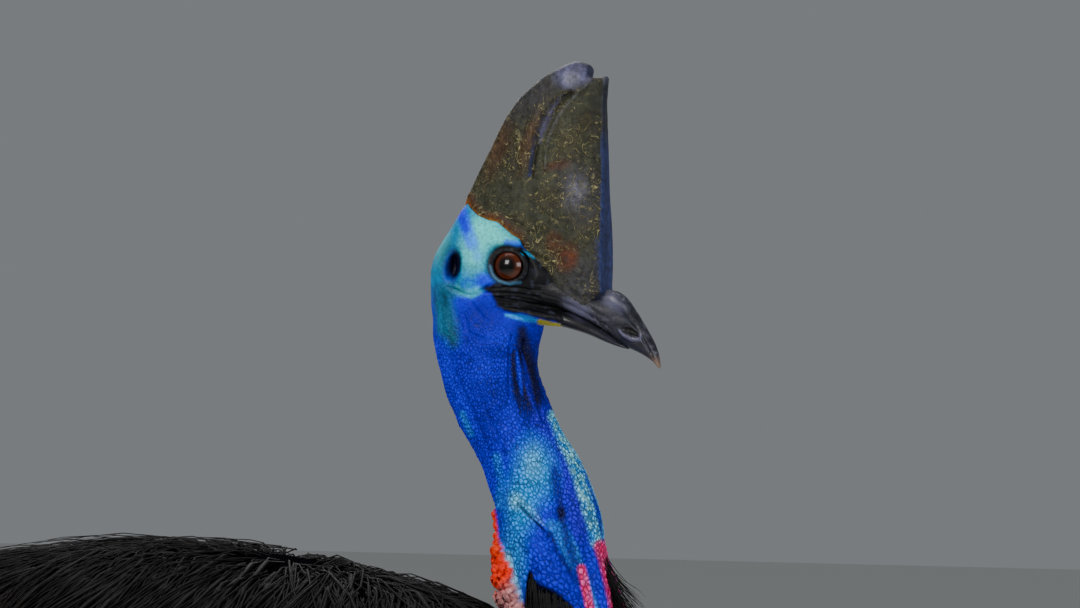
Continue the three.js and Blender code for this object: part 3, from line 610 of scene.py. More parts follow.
# The black bare face between eye, gape and bill
BLACK_FACE = [
    (-8.1, -11.7), (-14.6, -14), (-22.7, -17.2), (-20.3, -19.5), (-15, -22.2), (-12.6, -27.3),
    (-9.7, -32), (-4.5, -35.5), (3.7, -37.4), (11.8, -38.2), (21.9, -40.8), (30, -42.9), (42.2, -45.6),
    (53.6, -46.8), (73.8, -57.7), (106.3, -73.3), (106.3, 3.1), (41.4, 3.1), (29.2, 7), (18.7, 11.7),
    (10.5, 15.6), (-0.8, 12.5), (-12.2, 3.1),
]
MOUTH = [(62, -41.5), (50, -36), (38, -33), (27, -31.5), (15, -29.5), (4, -27.5), (-6, -26), (-12, -25)]
FACE_WRINKLES = [
    ([(-13.8, -17.9), (-3.2, -16.8), (8.9, -17.6), (23.5, -20.3), (38.1, -25), (51.1, -29.6)], 1.0, 1.6),
    ([(-21.9, -21.1), (-9.7, -21.1), (4.9, -21.8), (21.1, -24.2), (37.3, -28.9), (53.6, -35.1)], 0.9, 1.5),
    ([(-10.5, -24.2), (2.4, -24.2), (17, -26.5), (33.3, -30.4), (49.5, -35.9)], 0.9, 1.3),
    ([(17, -13.3), (26.8, -15.6), (37.3, -19.5), (46.2, -25)], 0.8, 0.9),
    ([(-8.9, -30.4), (5.7, -31.2), (21.9, -33.5), (38.1, -37.4)], 1.0, 1.1),
    ([(12.2, 9.4), (18.7, 3.1), (21.9, -4.7), (20.3, -11.7)], 0.9, 0.8),
]
NECK_FOLDS = [
    ([(7.3, -182.5), (17, -191.9), (29.2, -204.4)], 1.2, 1.4),
    ([(29.2, -204.4), (35.7, -217.6), (42.2, -230.9), (49.5, -246.5), (57.6, -266.8)], 1.6, 2.0),
    (
        [(34.9, -163), (38.1, -182.5), (42.2, -199.7), (47.1, -220), (54.4, -244.9), (64.1, -269.9)],
        3.4,
        2.4,
    ),
    ([(2.4, -53.8), (1.6, -73.3), (0.8, -100.6)], 2.0, 2.2),
    ([(12.2, -57.7), (16.2, -81.1), (21.9, -104.5), (26.8, -118.6)], 2.6, 2.8),
    ([(21.9, -61.6), (26, -81.1), (30, -98.3)], 1.6, 1.6),
    ([(-34.9, -40.6), (-33.3, -51.5), (-23.5, -56.2), (-7.3, -58.5)], 1.2, 1.3),
    ([(-31.6, -26.5), (-25.2, -35.9), (-15.4, -43.7)], 1.2, 1.0),
    ([(-43.8, -82.7), (-34.9, -103), (-23.5, -127.9), (-12.2, -152.9)], 2.2, 1.1),
    ([(-51.1, -57.7), (-46.2, -79.6), (-38.1, -104.5)], 1.4, 0.9),
    ([(-26.8, -88.9), (-18.7, -112.3), (-8.1, -135.7), (-0.8, -159.1), (0.8, -182.5)], 2.0, 1.0),
    ([(-4.9, -166.9), (-2.4, -194.2), (2.4, -220)], 1.6, 1.0),
]
# Raised folds between the hollows of the foreneck
NECK_RIDGES = [
    ([(6.5, -65.5), (11.4, -85), (17.9, -104.5), (25.2, -120.1)], 2.4, 1.8),
    ([(29.2, -207.5), (38.1, -226.2), (47.9, -246.5), (57.6, -263.6)], 2.2, 1.6),
    ([(38.1, -120.1), (51.1, -145.1), (60.9, -174.7), (71.4, -209.8)], 3.0, 1.2),
]


# Width of a pebble by height from the eye
PEBBLE_SIZE = [(60, 1.8), (-20, 1.9), (-60, 2.4), (-150, 2.7), (-210, 3.4), (-250, 4.0), (-400, 4.2)]


def grain_of(points):
    """Coordinates in pebbles, the same for the relief and for the skin's material."""
    heights = np.linspace(-400, 60, 461)
    sizes = np.interp(heights, [r[0] for r in PEBBLE_SIZE[::-1]], [r[1] for r in PEBBLE_SIZE[::-1]])
    run = np.cumsum(1 / sizes) * (heights[1] - heights[0])
    here = np.interp(points[:, 2], heights, sizes)
    along = np.interp(points[:, 2], heights, run)
    return np.stack([points[:, 0] / here, points[:, 1] / here, 0.85 * along], 1)


def cell_edges(grain):
    """Distance to the nearest cell border of the Voronoi texture at points, from geometry nodes."""
    mesh = bpy.data.meshes.new("cells")
    mesh.vertices.add(len(grain))
    mesh.vertices.foreach_set("co", grain.astype(np.float32).ravel())
    tree = bpy.data.node_groups.new("cells", "GeometryNodeTree")
    tree.interface.new_socket("Geometry", in_out="INPUT", socket_type="NodeSocketGeometry")
    tree.interface.new_socket("Geometry", in_out="OUTPUT", socket_type="NodeSocketGeometry")
    entry, leave = tree.nodes.new("NodeGroupInput"), tree.nodes.new("NodeGroupOutput")
    where = tree.nodes.new("GeometryNodeInputPosition")
    texture = tree.nodes.new("ShaderNodeTexVoronoi")
    texture.feature = "DISTANCE_TO_EDGE"
    texture.inputs["Scale"].default_value = 1.0
    store = tree.nodes.new("GeometryNodeStoreNamedAttribute")
    store.inputs["Name"].default_value = "edge"
    tree.links.new(where.outputs[0], texture.inputs["Vector"])
    tree.links.new(entry.outputs[0], store.inputs["Geometry"])
    tree.links.new(texture.outputs["Distance"], store.inputs["Value"])
    tree.links.new(store.outputs[0], leave.inputs[0])
    holder = bpy.data.objects.new("cells", mesh)
    bpy.context.scene.collection.objects.link(holder)
    holder.modifiers.new("cells", "NODES").node_group = tree
    made = holder.evaluated_get(bpy.context.evaluated_depsgraph_get()).data
    edge = np.zeros(len(grain), np.float32)
    made.attributes["edge"].data.foreach_get("value", edge)
    bpy.data.objects.remove(holder, do_unlink=True)
    bpy.data.node_groups.remove(tree)
    return edge.astype(float)


def carve_head(points, quads):
    """Folds, wrinkles and pebbles. Returns the moved points, the pebbles' height, and the share of
    black face at each point."""
    normals = vertex_normals(points, quads)
    uv = side_view(points)
    u, v = uv
    push = np.zeros(len(points))
    on_side = smooth_step(np.abs(points[:, 1]), 6, 16)
    push -= 2.4 * stroke(uv, CHEEK_FOLD[1:], 2.0, 0.9, 0.9) * on_side
    push -= 2.6 * stroke(uv, MOUTH, 1.3, 0.7, 0.2) * on_side
    for lines, way in ((FACE_WRINKLES, -1), (NECK_FOLDS, -1), (NECK_RIDGES, 1)):
        for line, width, depth in lines:
            push += way * (depth * stroke(uv, line, width, 0.9, 0.6) * on_side)
    # Fine lengthwise wrinkles on the back of the neck and cross wrinkles on the throat
    wave = np.sin(0.9 * (points[:, 0] + 0.35 * v) + 5 * noise3(points, 22, 3))
    nape = smooth_step(-u, 28, 52) * smooth_step(-v, 20, 44) * (1 - smooth_step(-v, 120, 160))
    push += 0.2 * wave * nape
    push += 1.5 * (noise3(points * np.array([1, 1, 0.3]), 6, 9) - 0.5) * nape
    cross = np.sin(0.62 * (v - 0.55 * points[:, 0]) + 7 * noise3(points, 26, 4))
    throat = smooth_step(-v, 48, 64) * (1 - smooth_step(-v, 150, 190))
    push += 0.14 * cross * throat * (1 - nape)
    push += 1.8 * (noise3(points, 30, 5) - 0.5) * smooth_step(-v, 40, 90)
    push += 0.8 * (noise3(points, 11, 6) - 0.5) * smooth_step(-v, 20, 50)
    # The hind neck swells under the caruncles
    push += 4.0 * dab(uv, (-12, -242), (12, 28), 0.8) * smooth_step(20 - points[:, 0], 0, 14)
    # Pebbles, small on the head and larger down the neck
    pebble = smooth_step(cell_edges(grain_of(points)), 0.0, 0.4)
    down = smooth_step(-v, 30, 70)
    lower = smooth_step(-v, 130, 220)
    face = in_outline(BLACK_FACE, u, v) + 1.6 * (noise3(points, 5, 8) - 0.5)
    lore = 1 - smooth_step(face, -2.6, 1.6)
    size = 0.12 + 0.38 * down + 0.35 * lower
    push += size * (pebble - 0.5) * (1 - 0.8 * lore)
    return points + normals * push[:, None], pebble, lore


CARUNCLE_TOP = -188.0
CARUNCLE_BOTTOM = -288.0
CARUNCLES = 230


def add_caruncles(points, quads):
    """Bulbs that swell out of the hind neck. Returns moved points, their share and a tone each."""
    rng = np.random.default_rng(SEED + 4)
    normals = vertex_normals(points, quads)
    share = np.sort(rng.random(CARUNCLES) ** 0.8)
    height = CARUNCLE_TOP + (CARUNCLE_BOTTOM - CARUNCLE_TOP) * share
    turn = (rng.random(len(share)) * 2 - 1) * (0.25 + 0.75 * share**0.8)
    row = follow(NECK_ROWS, height)
    swell = np.exp(-(((share - 0.58) / 0.3) ** 2))
    radius = (2.3 + 3.2 * rng.random(len(share))) * (0.6 + 0.75 * swell)
    sink = -0.25 * radius * swell
    behind = row[:, 0] - (row[:, 1] + sink) * np.cos(turn)
    centre = np.stack([behind, (row[:, 2] + sink) * np.sin(turn), height], 1)
    lift = np.zeros(len(points))
    near = np.nonzero((points[:, 0] < 40) & (points[:, 2] < -176) & (points[:, 2] > -296))[0]
    which = np.zeros(len(points), int)
    for i, (c, r) in enumerate(zip(centre, radius)):
        d = np.linalg.norm(points[near] - c, axis=1)
        stand = 1.5 + 0.7 * (i % 3 == 0)
        bump = np.sqrt(np.clip(1 - (d / (1.35 * r)) ** 2, 0, 1)) * r * stand
        higher = bump > lift[near]
        lift[near] = np.where(higher, bump, lift[near])
        which[near] = np.where(higher, i, which[near])
    moved = points + normals * lift[:, None] * np.array([1.0, 1.0, 0.6])
    tone = rng.random(len(share))[which]
    return moved, np.clip(lift / 2.5, 0, 1), tone


PALE = colour("4CCFCB")
CYAN = colour("047AA8")
LAGOON = colour("26AAFF")
TEAL = colour("1F5F74")
AZURE = colour("021AFF")
ROYAL = colour("0404CC")
DEEP = colour("03029A")
# Near black blue, used only as painted shade in the hollows, folds and holes of the skin
SHADE_BLUE = colour("01011C")
VIOLET = colour("3014DC")
LORE = colour("0D0D10")
WHITISH = colour("98F0F8")
PINK = colour("F01E68")
ROSE = colour("F468B0")
ORANGE = colour("D82004")
AMBER = colour("E84C0C")
FLESH = colour("C48486")
YELLOW = colour("BAB010")
SLATE = colour("2C3040")
LID = colour("3F6C8A")


def blended(base, tone, strength):
    """Colours moved to a tone by a strength a point."""
    s = np.clip(strength, 0, 1)[:, None]
    return base * (1 - s) + np.asarray(tone) * s


def marked(c, uv, marks):
    """Colours with marks laid over them in order. A mark is its tone, its strength, dab or stroke, and
    what that takes: a place or line, a size, a softness and a turn or taper."""
    for tone, strength, shape, *measures in marks:
        c = blended(c, tone, shape(uv, *measures) * strength)
    return c


# Palest behind the eye
HEAD_MARKS = [
    (PALE, 0.95, dab, (-21.7, 26.1), (13, 13), 0.6),
    (PALE, 0.75, dab, (-28.8, 10.5), (11, 14), 0.7),
    (PALE, 0.85, dab, (-6.5, 22.2), (15, 7), 0.6, -0.5),
    (PALE, 0.6, stroke, [(-47.1, -16.4), (-37.9, -20.3), (-29.8, -21.6), (-21.7, -17.2)], 3.0, 0.8),
    (PALE, 0.45, dab, (-55.2, 17.4), (7, 15), 0.7),
    (AZURE, 0.85, stroke, [(-39.4, 42.7), (-35.9, 33.9), (-33.3, 26.1), (-29.8, 17.4)], 4.6, 0.7),
    (ROYAL, 0.8, stroke, [(-40, 40.8), (-37.3, 33.9), (-34.1, 26.1)], 2.2, 0.7),
    (LAGOON, 0.6, stroke, [(-30.8, 23.2), (-27.6, 13.5), (-25.2, 6.6)], 3.2, 0.8),
    (AZURE, 0.7, stroke, [(-1.4, 17.4), (5.7, 16.4), (10.8, 13.5)], 2.8, 0.7),
    (AZURE, 0.9, dab, (-18.7, -12.5), (8, 6), 0.6, -0.3),
]
# Blue rim of the ear, teal below it, and painted shade in its hollow and in its hole
EAR_MARKS = [
    (ROYAL, 0.75, dab, (-47.5, -3.1), (6, 15), 0.5, -0.1),
    (SHADE_BLUE, 0.55, dab, (-49.1, 5.7), (8, 14), 0.5, -0.1),
    (TEAL, 0.8, dab, (-49.1, -18.7), (12, 7), 0.6),
    (SHADE_BLUE, 1.0, dab, (-43.4, 0.8), (5.0, 12), 0.35, -0.1),
]
# Deep blue under the jaw with a painted shadow of the bill, painted shade in the folds, brighter patches
# lower down
NECK_MARKS = [
    (
        AZURE, 0.8, stroke,
        [(-57.2, -64), (-49.1, -91.3), (-38.9, -118.6), (-24.7, -142), (-14.6, -165.4)],
        8, 0.7,
    ),
    (LAGOON, 0.75, stroke, [(-9.5, -147.8), (-5.5, -165.4), (-7.5, -184.9)], 3.4, 0.8),
    (LAGOON, 0.5, stroke, [(-37.9, -114.7), (-30.8, -130.3)], 2.5, 0.8),
    (DEEP, 0.6, stroke, [(-28.8, -57.7), (-18.7, -65.5), (-4.5, -67.5)], 6, 0.7),
    (DEEP, 0.4, dab, (-12.6, -110.8), (12, 26), 0.7, -0.2),
    # Painted shadow of the bill over the foreneck, painted shade in its folds and bluer ridges between them
    (DEEP, 0.8, stroke, [(13.8, -49.9), (14.8, -64), (19.9, -91.3), (19.9, -114.7)], 12, 0.5),
    (
        SHADE_BLUE, 0.9, stroke,
        [(10.8, -49.9), (12.8, -67.5), (11.8, -75.7), (14.8, -95.2), (19.9, -126.4)],
        9, 0.8, 0.6,
    ),
    (SHADE_BLUE, 0.9, stroke, [(4.1, -65.5), (3.2, -69.8), (4.9, -89.3), (9.7, -114.7)], 2.4, 0.9, 0.6),
    (SHADE_BLUE, 0.8, stroke, [(15.8, -69.8), (20.3, -93.2), (25, -112.7)], 5.0, 0.9, 0.6),
    (AZURE, 0.9, stroke, [(5.7, -65.5), (6.5, -65.9), (8.1, -79.6), (11, -101)], 1.8, 0.8, 0.9),
    (VIOLET, 0.8, stroke, [(11, -67.9), (14.2, -85.4), (18.7, -103), (24.3, -115)], 2.2, 0.9, 0.9),
    (ROYAL, 0.7, stroke, [(22.9, -64), (25, -81.5), (30, -101)], 2.0, 0.9, 0.8),
    (SHADE_BLUE, 0.7, dab, (18.9, -126), (6, 7), 0.8),
    # Brighter, beaded patches lower down
    (VIOLET, 0.85, stroke, [(28, -120.5), (40.2, -149.8), (52.3, -181), (58.4, -200.5)], 10, 0.7),
    (AZURE, 0.85, dab, (17.9, -181), (26, 56), 0.6, 0.2),
    (LAGOON, 0.9, dab, (21.9, -157.6), (15, 22), 0.7, 0.2),
    (LAGOON, 0.9, dab, (9.7, -182.9), (12, 22), 0.7),
    (LAGOON, 0.7, dab, (3.7, -225.8), (10, 26), 0.7),
    (WHITISH, 0.25, dab, (19.9, -151.7), (7, 12), 0.8),
    (WHITISH, 0.45, dab, (5.7, -181), (5, 6), 0.8),
    (WHITISH, 0.25, stroke, [(9.7, -179), (19.9, -190.7), (30, -199.5)], 3.0, 1.0, 0.9),
    (LAGOON, 0.5, stroke, [(34.1, -198.5), (42.2, -212.2), (50.3, -229.7)], 4, 0.7),
    (LAGOON, 0.6, stroke, [(42.2, -198.5), (52.3, -218), (60.4, -239.5), (70.6, -266.8)], 3.6, 0.7),
    (WHITISH, 0.6, stroke, [(-1.4, -223.9), (2.6, -237.5), (6.7, -251.2), (9.7, -266.8)], 3.2, 0.8),
    # Painted shade along the carved folds of the lower foreneck
    (
        DEEP, 0.85, stroke,
        [(37.1, -157.6), (41.8, -184.9), (45.2, -200.5), (50.3, -220), (58.4, -239.5), (66.5, -266.8)],
        3.6, 0.7,
    ),
    (SHADE_BLUE, 0.9, dab, (42.2, -189.7), (3.6, 6), 0.6),
    (SHADE_BLUE, 0.9, stroke, [(7.3, -182.9), (17.9, -193.1), (29, -202.8)], 0.9, 0.8),
    (DEEP, 0.9, stroke, [(33.1, -205.3), (40.2, -220), (50.3, -235.6), (60.4, -247.3)], 2.6, 0.8),
]
# Lower lid, and the strips below the jaw
JAW_MARKS = [
    (LID, 0.75, stroke, [(-15, -0.2), (-13.4, -6.6), (-8.5, -11.7), (0.6, -14.4), (9.7, -12.9)], 1.0, 0.7),
    (LAGOON, 0.75, stroke, [(-2.4, -38.2), (9.7, -40), (21.9, -42.5), (26, -43.7)], 2.0, 0.8, 0.5),
    (YELLOW, 1.0, stroke, [(25, -43.5), (34.1, -45.4), (43, -47.2)], 2.0, 0.5),
]
# Lines of the pale beads and of the pink roots of the wattles
BEAD_LINE = [(37.1, -116.2), (44.2, -134.2), (53.3, -151.7), (60.4, -173.2), (66.9, -194.6), (71.6, -212.2)]
WATTLE_FRONT = [(73.6, -216.1), (77.7, -227.8), (81.7, -243.4), (85.2, -259), (88.8, -278.5), (92.9, -307.7)]
WATTLE_BACK = [(59, -232.6), (61.9, -245.3), (64.9, -259), (69.6, -278.5), (74.6, -307.7)]


def colour_head(points, pebble, lore, caruncle, tone):
    """The skin's colours as patches and strokes at named places, with painted shade in its hollows, folds
    and creases.
    """
    uv = side_view(points)
    u, v = uv
    n = len(points)
    fine = noise3(points, 4, 11)
    broad = noise3(points, 18, 12)
    c = np.tile(ROYAL, (n, 1))
    c = blended(c, AZURE, smooth_step(broad, 0.35, 0.75) * 0.5)
    c = blended(c, DEEP, dab(uv, (-22, -38), (18, 14), 0.7) * 0.95)
    # Head: cyan, palest behind the eye
    line = np.interp(u, [p[0] for p in CHEEK_FOLD], [p[1] for p in CHEEK_FOLD])
    width = 1.0 + 5.0 * smooth_step(-u, 36, 50)
    above = smooth_step((v - line) / width, -2.2, 1.5)
    c = blended(c, CYAN, above)
    c = blended(c, LAGOON, above * smooth_step(-v, 2, 16) * 0.6 * smooth_step(fine, 0.2, 0.8))
    c = marked(c, uv, HEAD_MARKS)
    c = blended(c, ROYAL, dab(uv, (-31.8, -13.3), (14, 4), 0.7, 0.15) * 0.5 * smooth_step(fine, 0.35, 0.65))
    c = marked(c, uv, EAR_MARKS)
    # Neck: teal nape with painted shade in the hollows of its wrinkles, then its patches and the painted
    # shade of its folds
    nape = stroke(uv, [(-56.2, -18.7), (-53.1, -34.3), (-49.1, -55.8)], 9, 0.6) * (1 - above)
    c = blended(c, TEAL, nape * 0.95)
    grain = noise3(points * np.array([1, 1, 0.3]), 6, 9)
    c = blended(c, CYAN, nape * smooth_step(grain, 0.55, 0.85) * 0.6)
    c = blended(c, SHADE_BLUE, nape * smooth_step(-grain, -0.4, -0.1) * 0.45)
    c = marked(c, uv, NECK_MARKS)
    stripe = stroke(uv, BEAD_LINE, 4.6, 0.7)
    c = blended(c, LAGOON, stripe * 0.9)
    c = blended(c, WHITISH, stripe * smooth_step(fine + 0.5 * pebble, 0.35, 0.85) * 0.8)
    # Wattle roots and wattles
    first = stroke(uv, WATTLE_FRONT, 4.4, 0.45)
    second = stroke(uv, WATTLE_BACK, 3.4, 0.45)
    hanging = smooth_step(-v, 264, 284) * smooth_step(points[:, 0], 84, 92)
    pink = np.maximum(np.maximum(first, second), hanging)
    c = blended(c, PINK, pink)
    c = blended(c, ROSE, pink * smooth_step(fine + 0.4 * pebble, 0.45, 0.95) * 0.75)
    # Painted shade in the creases between pebbles
    down = smooth_step(-v, 30, 70)
    crease_shade = (1 - smooth_step(pebble, 0.1, 0.5)) * (0.08 + 0.4 * down) * (1 - 0.6 * pink)
    c = blended(c, c * 0.2, crease_shade)
    # Black face between eye, gape and bill
    c = blended(c, LORE, lore)
    ring = dab(uv, (-1.6, 0.6), (16.8, 16.6), 0.16)
    c = blended(c, LORE, ring)
    c = blended(c, SLATE, lore * smooth_step(noise3(points, 3, 13), 0.62, 0.9) * 0.6)
    lash = stroke(uv, [(11.8, 9.8), (17.9, 8.2), (25, 5.3), (32.5, 0.8)], 1.7, 0.6)
    c = blended(c, CYAN, lash * smooth_step(fine, 0.25, 0.6) * 0.8)
    c = marked(c, uv, JAW_MARKS)
    # Caruncles: orange above, fleshy below
    low = smooth_step(-points[:, 2] + 0.75 * (points[:, 0] + 4) + 18 * (tone - 0.5), 246, 262)
    knob = ORANGE[None] * (1 - tone[:, None] * 0.4) + AMBER[None] * tone[:, None] * 0.4
    knob = knob * (1 - low[:, None]) + (FLESH * (0.7 + 0.3 * fine[:, None])) * low[:, None]
    c = c * (1 - caruncle[:, None]) + knob * caruncle[:, None]
    return np.clip(c, 0, 1)


def union_of(objects, name):
    """One object from several that overlap."""
    first = objects[0]
    for other in objects[1:]:
        step = first.modifiers.new("join", "BOOLEAN")
        step.operation = "UNION"
        step.solver = "MANIFOLD"
        step.object = other
    depsgraph = bpy.context.evaluated_depsgraph_get()
    mesh = bpy.data.meshes.new_from_object(first.evaluated_get(depsgraph))
    made = bpy.data.objects.new(name, mesh)
    bpy.context.scene.collection.objects.link(made)
    for old in objects:
        bpy.data.objects.remove(old, do_unlink=True)
    return made


BODY_VOXEL = 7.0
LEG_VOXEL = 2.1


def leg_rows(rows, side):
    """Rows of one leg, forward or back by its share of the stride."""
    out = []
    for x, away, z, deep, wide in rows:
        share = min(max((800 - z) / 800, 0), 1)
        out.append((x + STRIDE[side] * share, SIDES[side] * (HIP_OUT + away), z, deep, wide))
    return out


def tube_field(rows, x, y, z):
    """Rough distance to a tube with flat ends."""
    return np.maximum(*tube_parts(rows, x, y, z))


def build_body():
    """Trunk, neck base and thighs under the coat."""
    low, high = (-722.0, -226.0, 480.0), (96.0, 226.0, 1135.0)
    x, y, z = grid_of(low, high, BODY_VOXEL)
    trunk = loft_field(TORSO_ROWS, x, y, z)
    collar = loft_field(COLLAR_ROWS, z - EYE_HEIGHT, y, x, standing=True)
    collar = np.maximum(collar, z - EYE_HEIGHT + 288)
    body = soft_min(trunk, collar, 14.0)
    for side in SIDES:
        body = soft_min(body, tube_field(leg_rows(THIGH_ROWS, side), x, y, z), 12.0)
    return surface_of(body, (x, y, z), low, BODY_VOXEL, 2)


def foot_middle(side):
    """Where the shank stands on its foot."""
    last = leg_rows(SHANK_ROWS, side)[-2]
    return last[0], last[1]


def toe_places(x, y, turn, side):
    """Distances along and across a toe from the middle of its foot."""
    cx, cy = foot_middle(side)
    a = math.radians(turn) * SIDES[side]
    along = (x - cx) * math.cos(a) + (y - cy) * math.sin(a)
    return along, -(x - cx) * math.sin(a) + (y - cy) * math.cos(a)


def build_leg(side):
    """Shank, foot and toes, carved with scutes."""
    cx, cy = foot_middle(side)
    low = (cx - 84, cy - 118, -4.0)
    high = (cx + 196, cy + 118, 560.0)
    x, y, z = grid_of(low, high, LEG_VOXEL)
    shank = tube_field(leg_rows(SHANK_ROWS, side), x, y, z)
    ahead, height, radii = PALM
    body = ball_field(x, y, z, (cx + ahead, cy, height), radii)
    for turn, length, wide, tall, _, _ in TOES.values():
        along, across = toe_places(x, y, turn, side)
        t = np.clip(along / length, 0, 1)
        pad = 1 + 0.09 * np.sin(t * length * 0.2)
        w = wide * (1 - 0.3 * t) * pad
        h = tall * (1 - 0.42 * t) * (2 - pad)
        r = np.sqrt((across / w) ** 2 + ((z - 0.42 * h) / (0.58 * h)) ** 2) + 1e-6
        reach = np.sqrt(across**2 + (z - 0.42 * h) ** 2)
        d = np.where(reach > 0.5, reach * (1 - 1 / r), -1.0)
        toe = soft_max(d, along - length + 6, 9.0)
        body = soft_min(body, np.maximum(toe, -along), 6.0)
    body = soft_min(shank, body, 12.0)
    body = np.maximum(body, 0.0 - z)
    points, quads = surface_of(body, (x, y, z), low, LEG_VOXEL, 2)
    normals = vertex_normals(points, quads)
    table = tube_table(leg_rows(SHANK_ROWS, side), points[:, 2])
    facing = np.clip((points[:, 0] - table[:, 0]) / table[:, 2], -1, 1)
    # Broad scutes on the front, small scales elsewhere
    wave = (points[:, 2] / 17.0 + 0.12 * np.sin(points[:, 1] * 0.2)) % 1.0
    plate = smooth_step(wave, 0.0, 0.12) * (1 - 0.5 * wave)
    scales = pebbled(points, 6.5, 7)
    front = smooth_step(facing, 0.15, 0.5) * smooth_step(points[:, 2], 40, 70)
    top = np.zeros(len(points))
    for turn, *_ in TOES.values():
        along, across = toe_places(points[:, 0], points[:, 1], turn, side)
        on_toe = smooth_step(along, 28, 44) * (1 - smooth_step(np.abs(across), 13, 19))
        on_toe = on_toe * smooth_step(normals[:, 2], 0.1, 0.5)
        ring = (along / 11.0) % 1.0
        top = np.maximum(top, on_toe * smooth_step(ring, 0.0, 0.14) * (1 - 0.4 * ring))
        scales = np.where(on_toe > 0.5, 0.5 + 0 * scales, scales)
    height = front * plate + (1 - front) * np.where(top > 0, top, scales)
    off_floor = smooth_step(points[:, 2], 0.5, 4.0)
    points = points + normals * ((0.95 * (height - 0.45)) * off_floor)[:, None]
    points[:, 2] = np.maximum(points[:, 2], 0.0)
    return points, quads, height


CASQUE_VOXEL = 1.15
CASQUE_GROOVE = [(50.3, 133.8), (37.3, 124), (29.2, 113.9), (23.5, 99.8), (19.8, 82.7), (17.9, 68.6)]
CASQUE_RIDGE = [
    (66.5, 142.7), (58.4, 134.9), (48.7, 125.6), (39.8, 114.7), (33.3, 101.4), (30, 87.4), (29.5, 74.9),
]
CASQUE_DENT = [(60, 123.2), (51.9, 104.5), (50.3, 87.4)]


def build_casque():
    """The casque as a blade between a side outline and a half thickness, carved and worn."""
    low, high = (-42.0, -27.0, -38.0), (90.0, 27.0, 166.0)
    x, y, z = grid_of(low, high, CASQUE_VOXEL)
    xx, zz = np.broadcast_arrays(x[:, 0, :], z[:, 0, :])
    outline = in_outline(CASQUE_OUTLINE, xx.astype(float), zz.astype(float))
    thick = follow(CASQUE_THICK, zz)[..., 0]
    back = np.interp(zz, [30, 51, 75, 108, 132, 148, 158], [-38, -36, -23.5, -7.3, 8.9, 29.2, 50])
    u = np.clip((xx - back) / (80.3 - back), 0, 1)
    rear = np.clip(1 - u / 0.55, 0, 1)
    fore = np.clip((u - 0.55) / 0.45, 0, 1)
    pinch = 0.06 + 0.38 * smooth_step(zz, -10, 60)
    half = thick * (1 - 0.72 * rear**2.2) * (1 - pinch * fore**1.6)
    field = soft_max(np.abs(y) - half[:, None, :], outline[:, None, :] + 0 * y, 5.0)
    points, quads = surface_of(field, (x, y, z), low, CASQUE_VOXEL, 3)
    normals = vertex_normals(points, quads)
    uv = side_view(points)
    u, v = uv
    aside = smooth_step(np.abs(normals[:, 1]), 0.3, 0.7)
    push = np.zeros(len(points))
    push -= 2.6 * stroke(uv, CASQUE_GROOVE, 2.2, 0.9, 0.5) * aside
    push += 1.2 * stroke(uv, CASQUE_RIDGE, 1.6, 0.9, 0.4) * aside
    push += 1.0 * stroke(uv, [(p[0] - 6, p[1] + 4) for p in CASQUE_GROOVE], 4.0, 0.9, 0.4) * aside
    # Long shallow dents and a rough, flaking surface
    push += 1.5 * (noise3(points * np.array([1, 1, 0.5]), 26, 21) - 0.5)
    push += 0.7 * (noise3(points * np.array([1, 1, 0.6]), 9, 22) - 0.5) * aside
    push += 1.6 * stroke(uv, CASQUE_DENT, 9, 1.0, 0.3) * aside
    flake = noise3(points, 5.0, 23)
    push += 0.35 * smooth_step(flake, 0.55, 0.62) * aside * smooth_step(132 - points[:, 2], 0, 30)
    rim, _ = along_line(CASQUE_LINE, u, v)
    push += 1.0 * np.exp(-((rim - 3) / 3.0) ** 2) * aside
    points = points + normals * push[:, None]
    return points, quads, rim


HORN = colour("2A2C1F")
OLIVE = colour("2E2B1A")
STONE = colour("303036")
RUST = colour("4A2410")
OCHRE = colour("86500F")
# Grey of the bald knob, also a painted sheen beside the groove
KNOB = colour("525270")
# Painted blue-grey highlight on the front of the casque
FRONT_HIGHLIGHT_BLUE = colour("2C3560")
# Dark horn, also painted shade in the groove and in the band beside the front
DARK_HORN_AND_SHADE = colour("151416")
# Pale horn, also painted highlights on the knob and along the ridge
PALE_HORN_AND_HIGHLIGHT = colour("676774")
SCRATCH = colour("8E865C")

CASQUE_SIDE_MARKS = [
    (RUST, 0.45, dab, (17, 96.7), (6, 22), 0.7, -0.3),
    (RUST, 0.4, dab, (-8.1, 90.5), (7, 24), 0.7, -0.4),
    (RUST, 0.7, dab, (39.8, 77.2), (9, 3.5), 0.7, 0.2),
    (STONE, 0.9, dab, (56.8, 56.2), (14, 22), 0.7, 0.3),
    (PALE_HORN_AND_HIGHLIGHT, 0.45, dab, (53.6, 56.2), (7, 11), 0.8, -0.3),
    (STONE, 0.8, dab, (17.9, 132.6), (22, 14), 0.7, 0.7),
    (DARK_HORN_AND_SHADE, 0.4, dab, (11.4, 127.9), (20, 12), 0.8, 0.7),
]
# Dark spot, grey knob with a painted highlight on it, pale tip of the front
CASQUE_TOP_MARKS = [
    (DARK_HORN_AND_SHADE, 0.4, dab, (4.9, 78), (7, 9), 0.8),
    (KNOB, 0.95, dab, (52.7, 147.4), (15, 10), 0.45, 0.2),
    (PALE_HORN_AND_HIGHLIGHT, 0.8, dab, (51.1, 144.3), (6, 5), 0.8),
    (PALE_HORN_AND_HIGHLIGHT, 0.6, dab, (78.7, 145.1), (3, 4), 0.6),
]
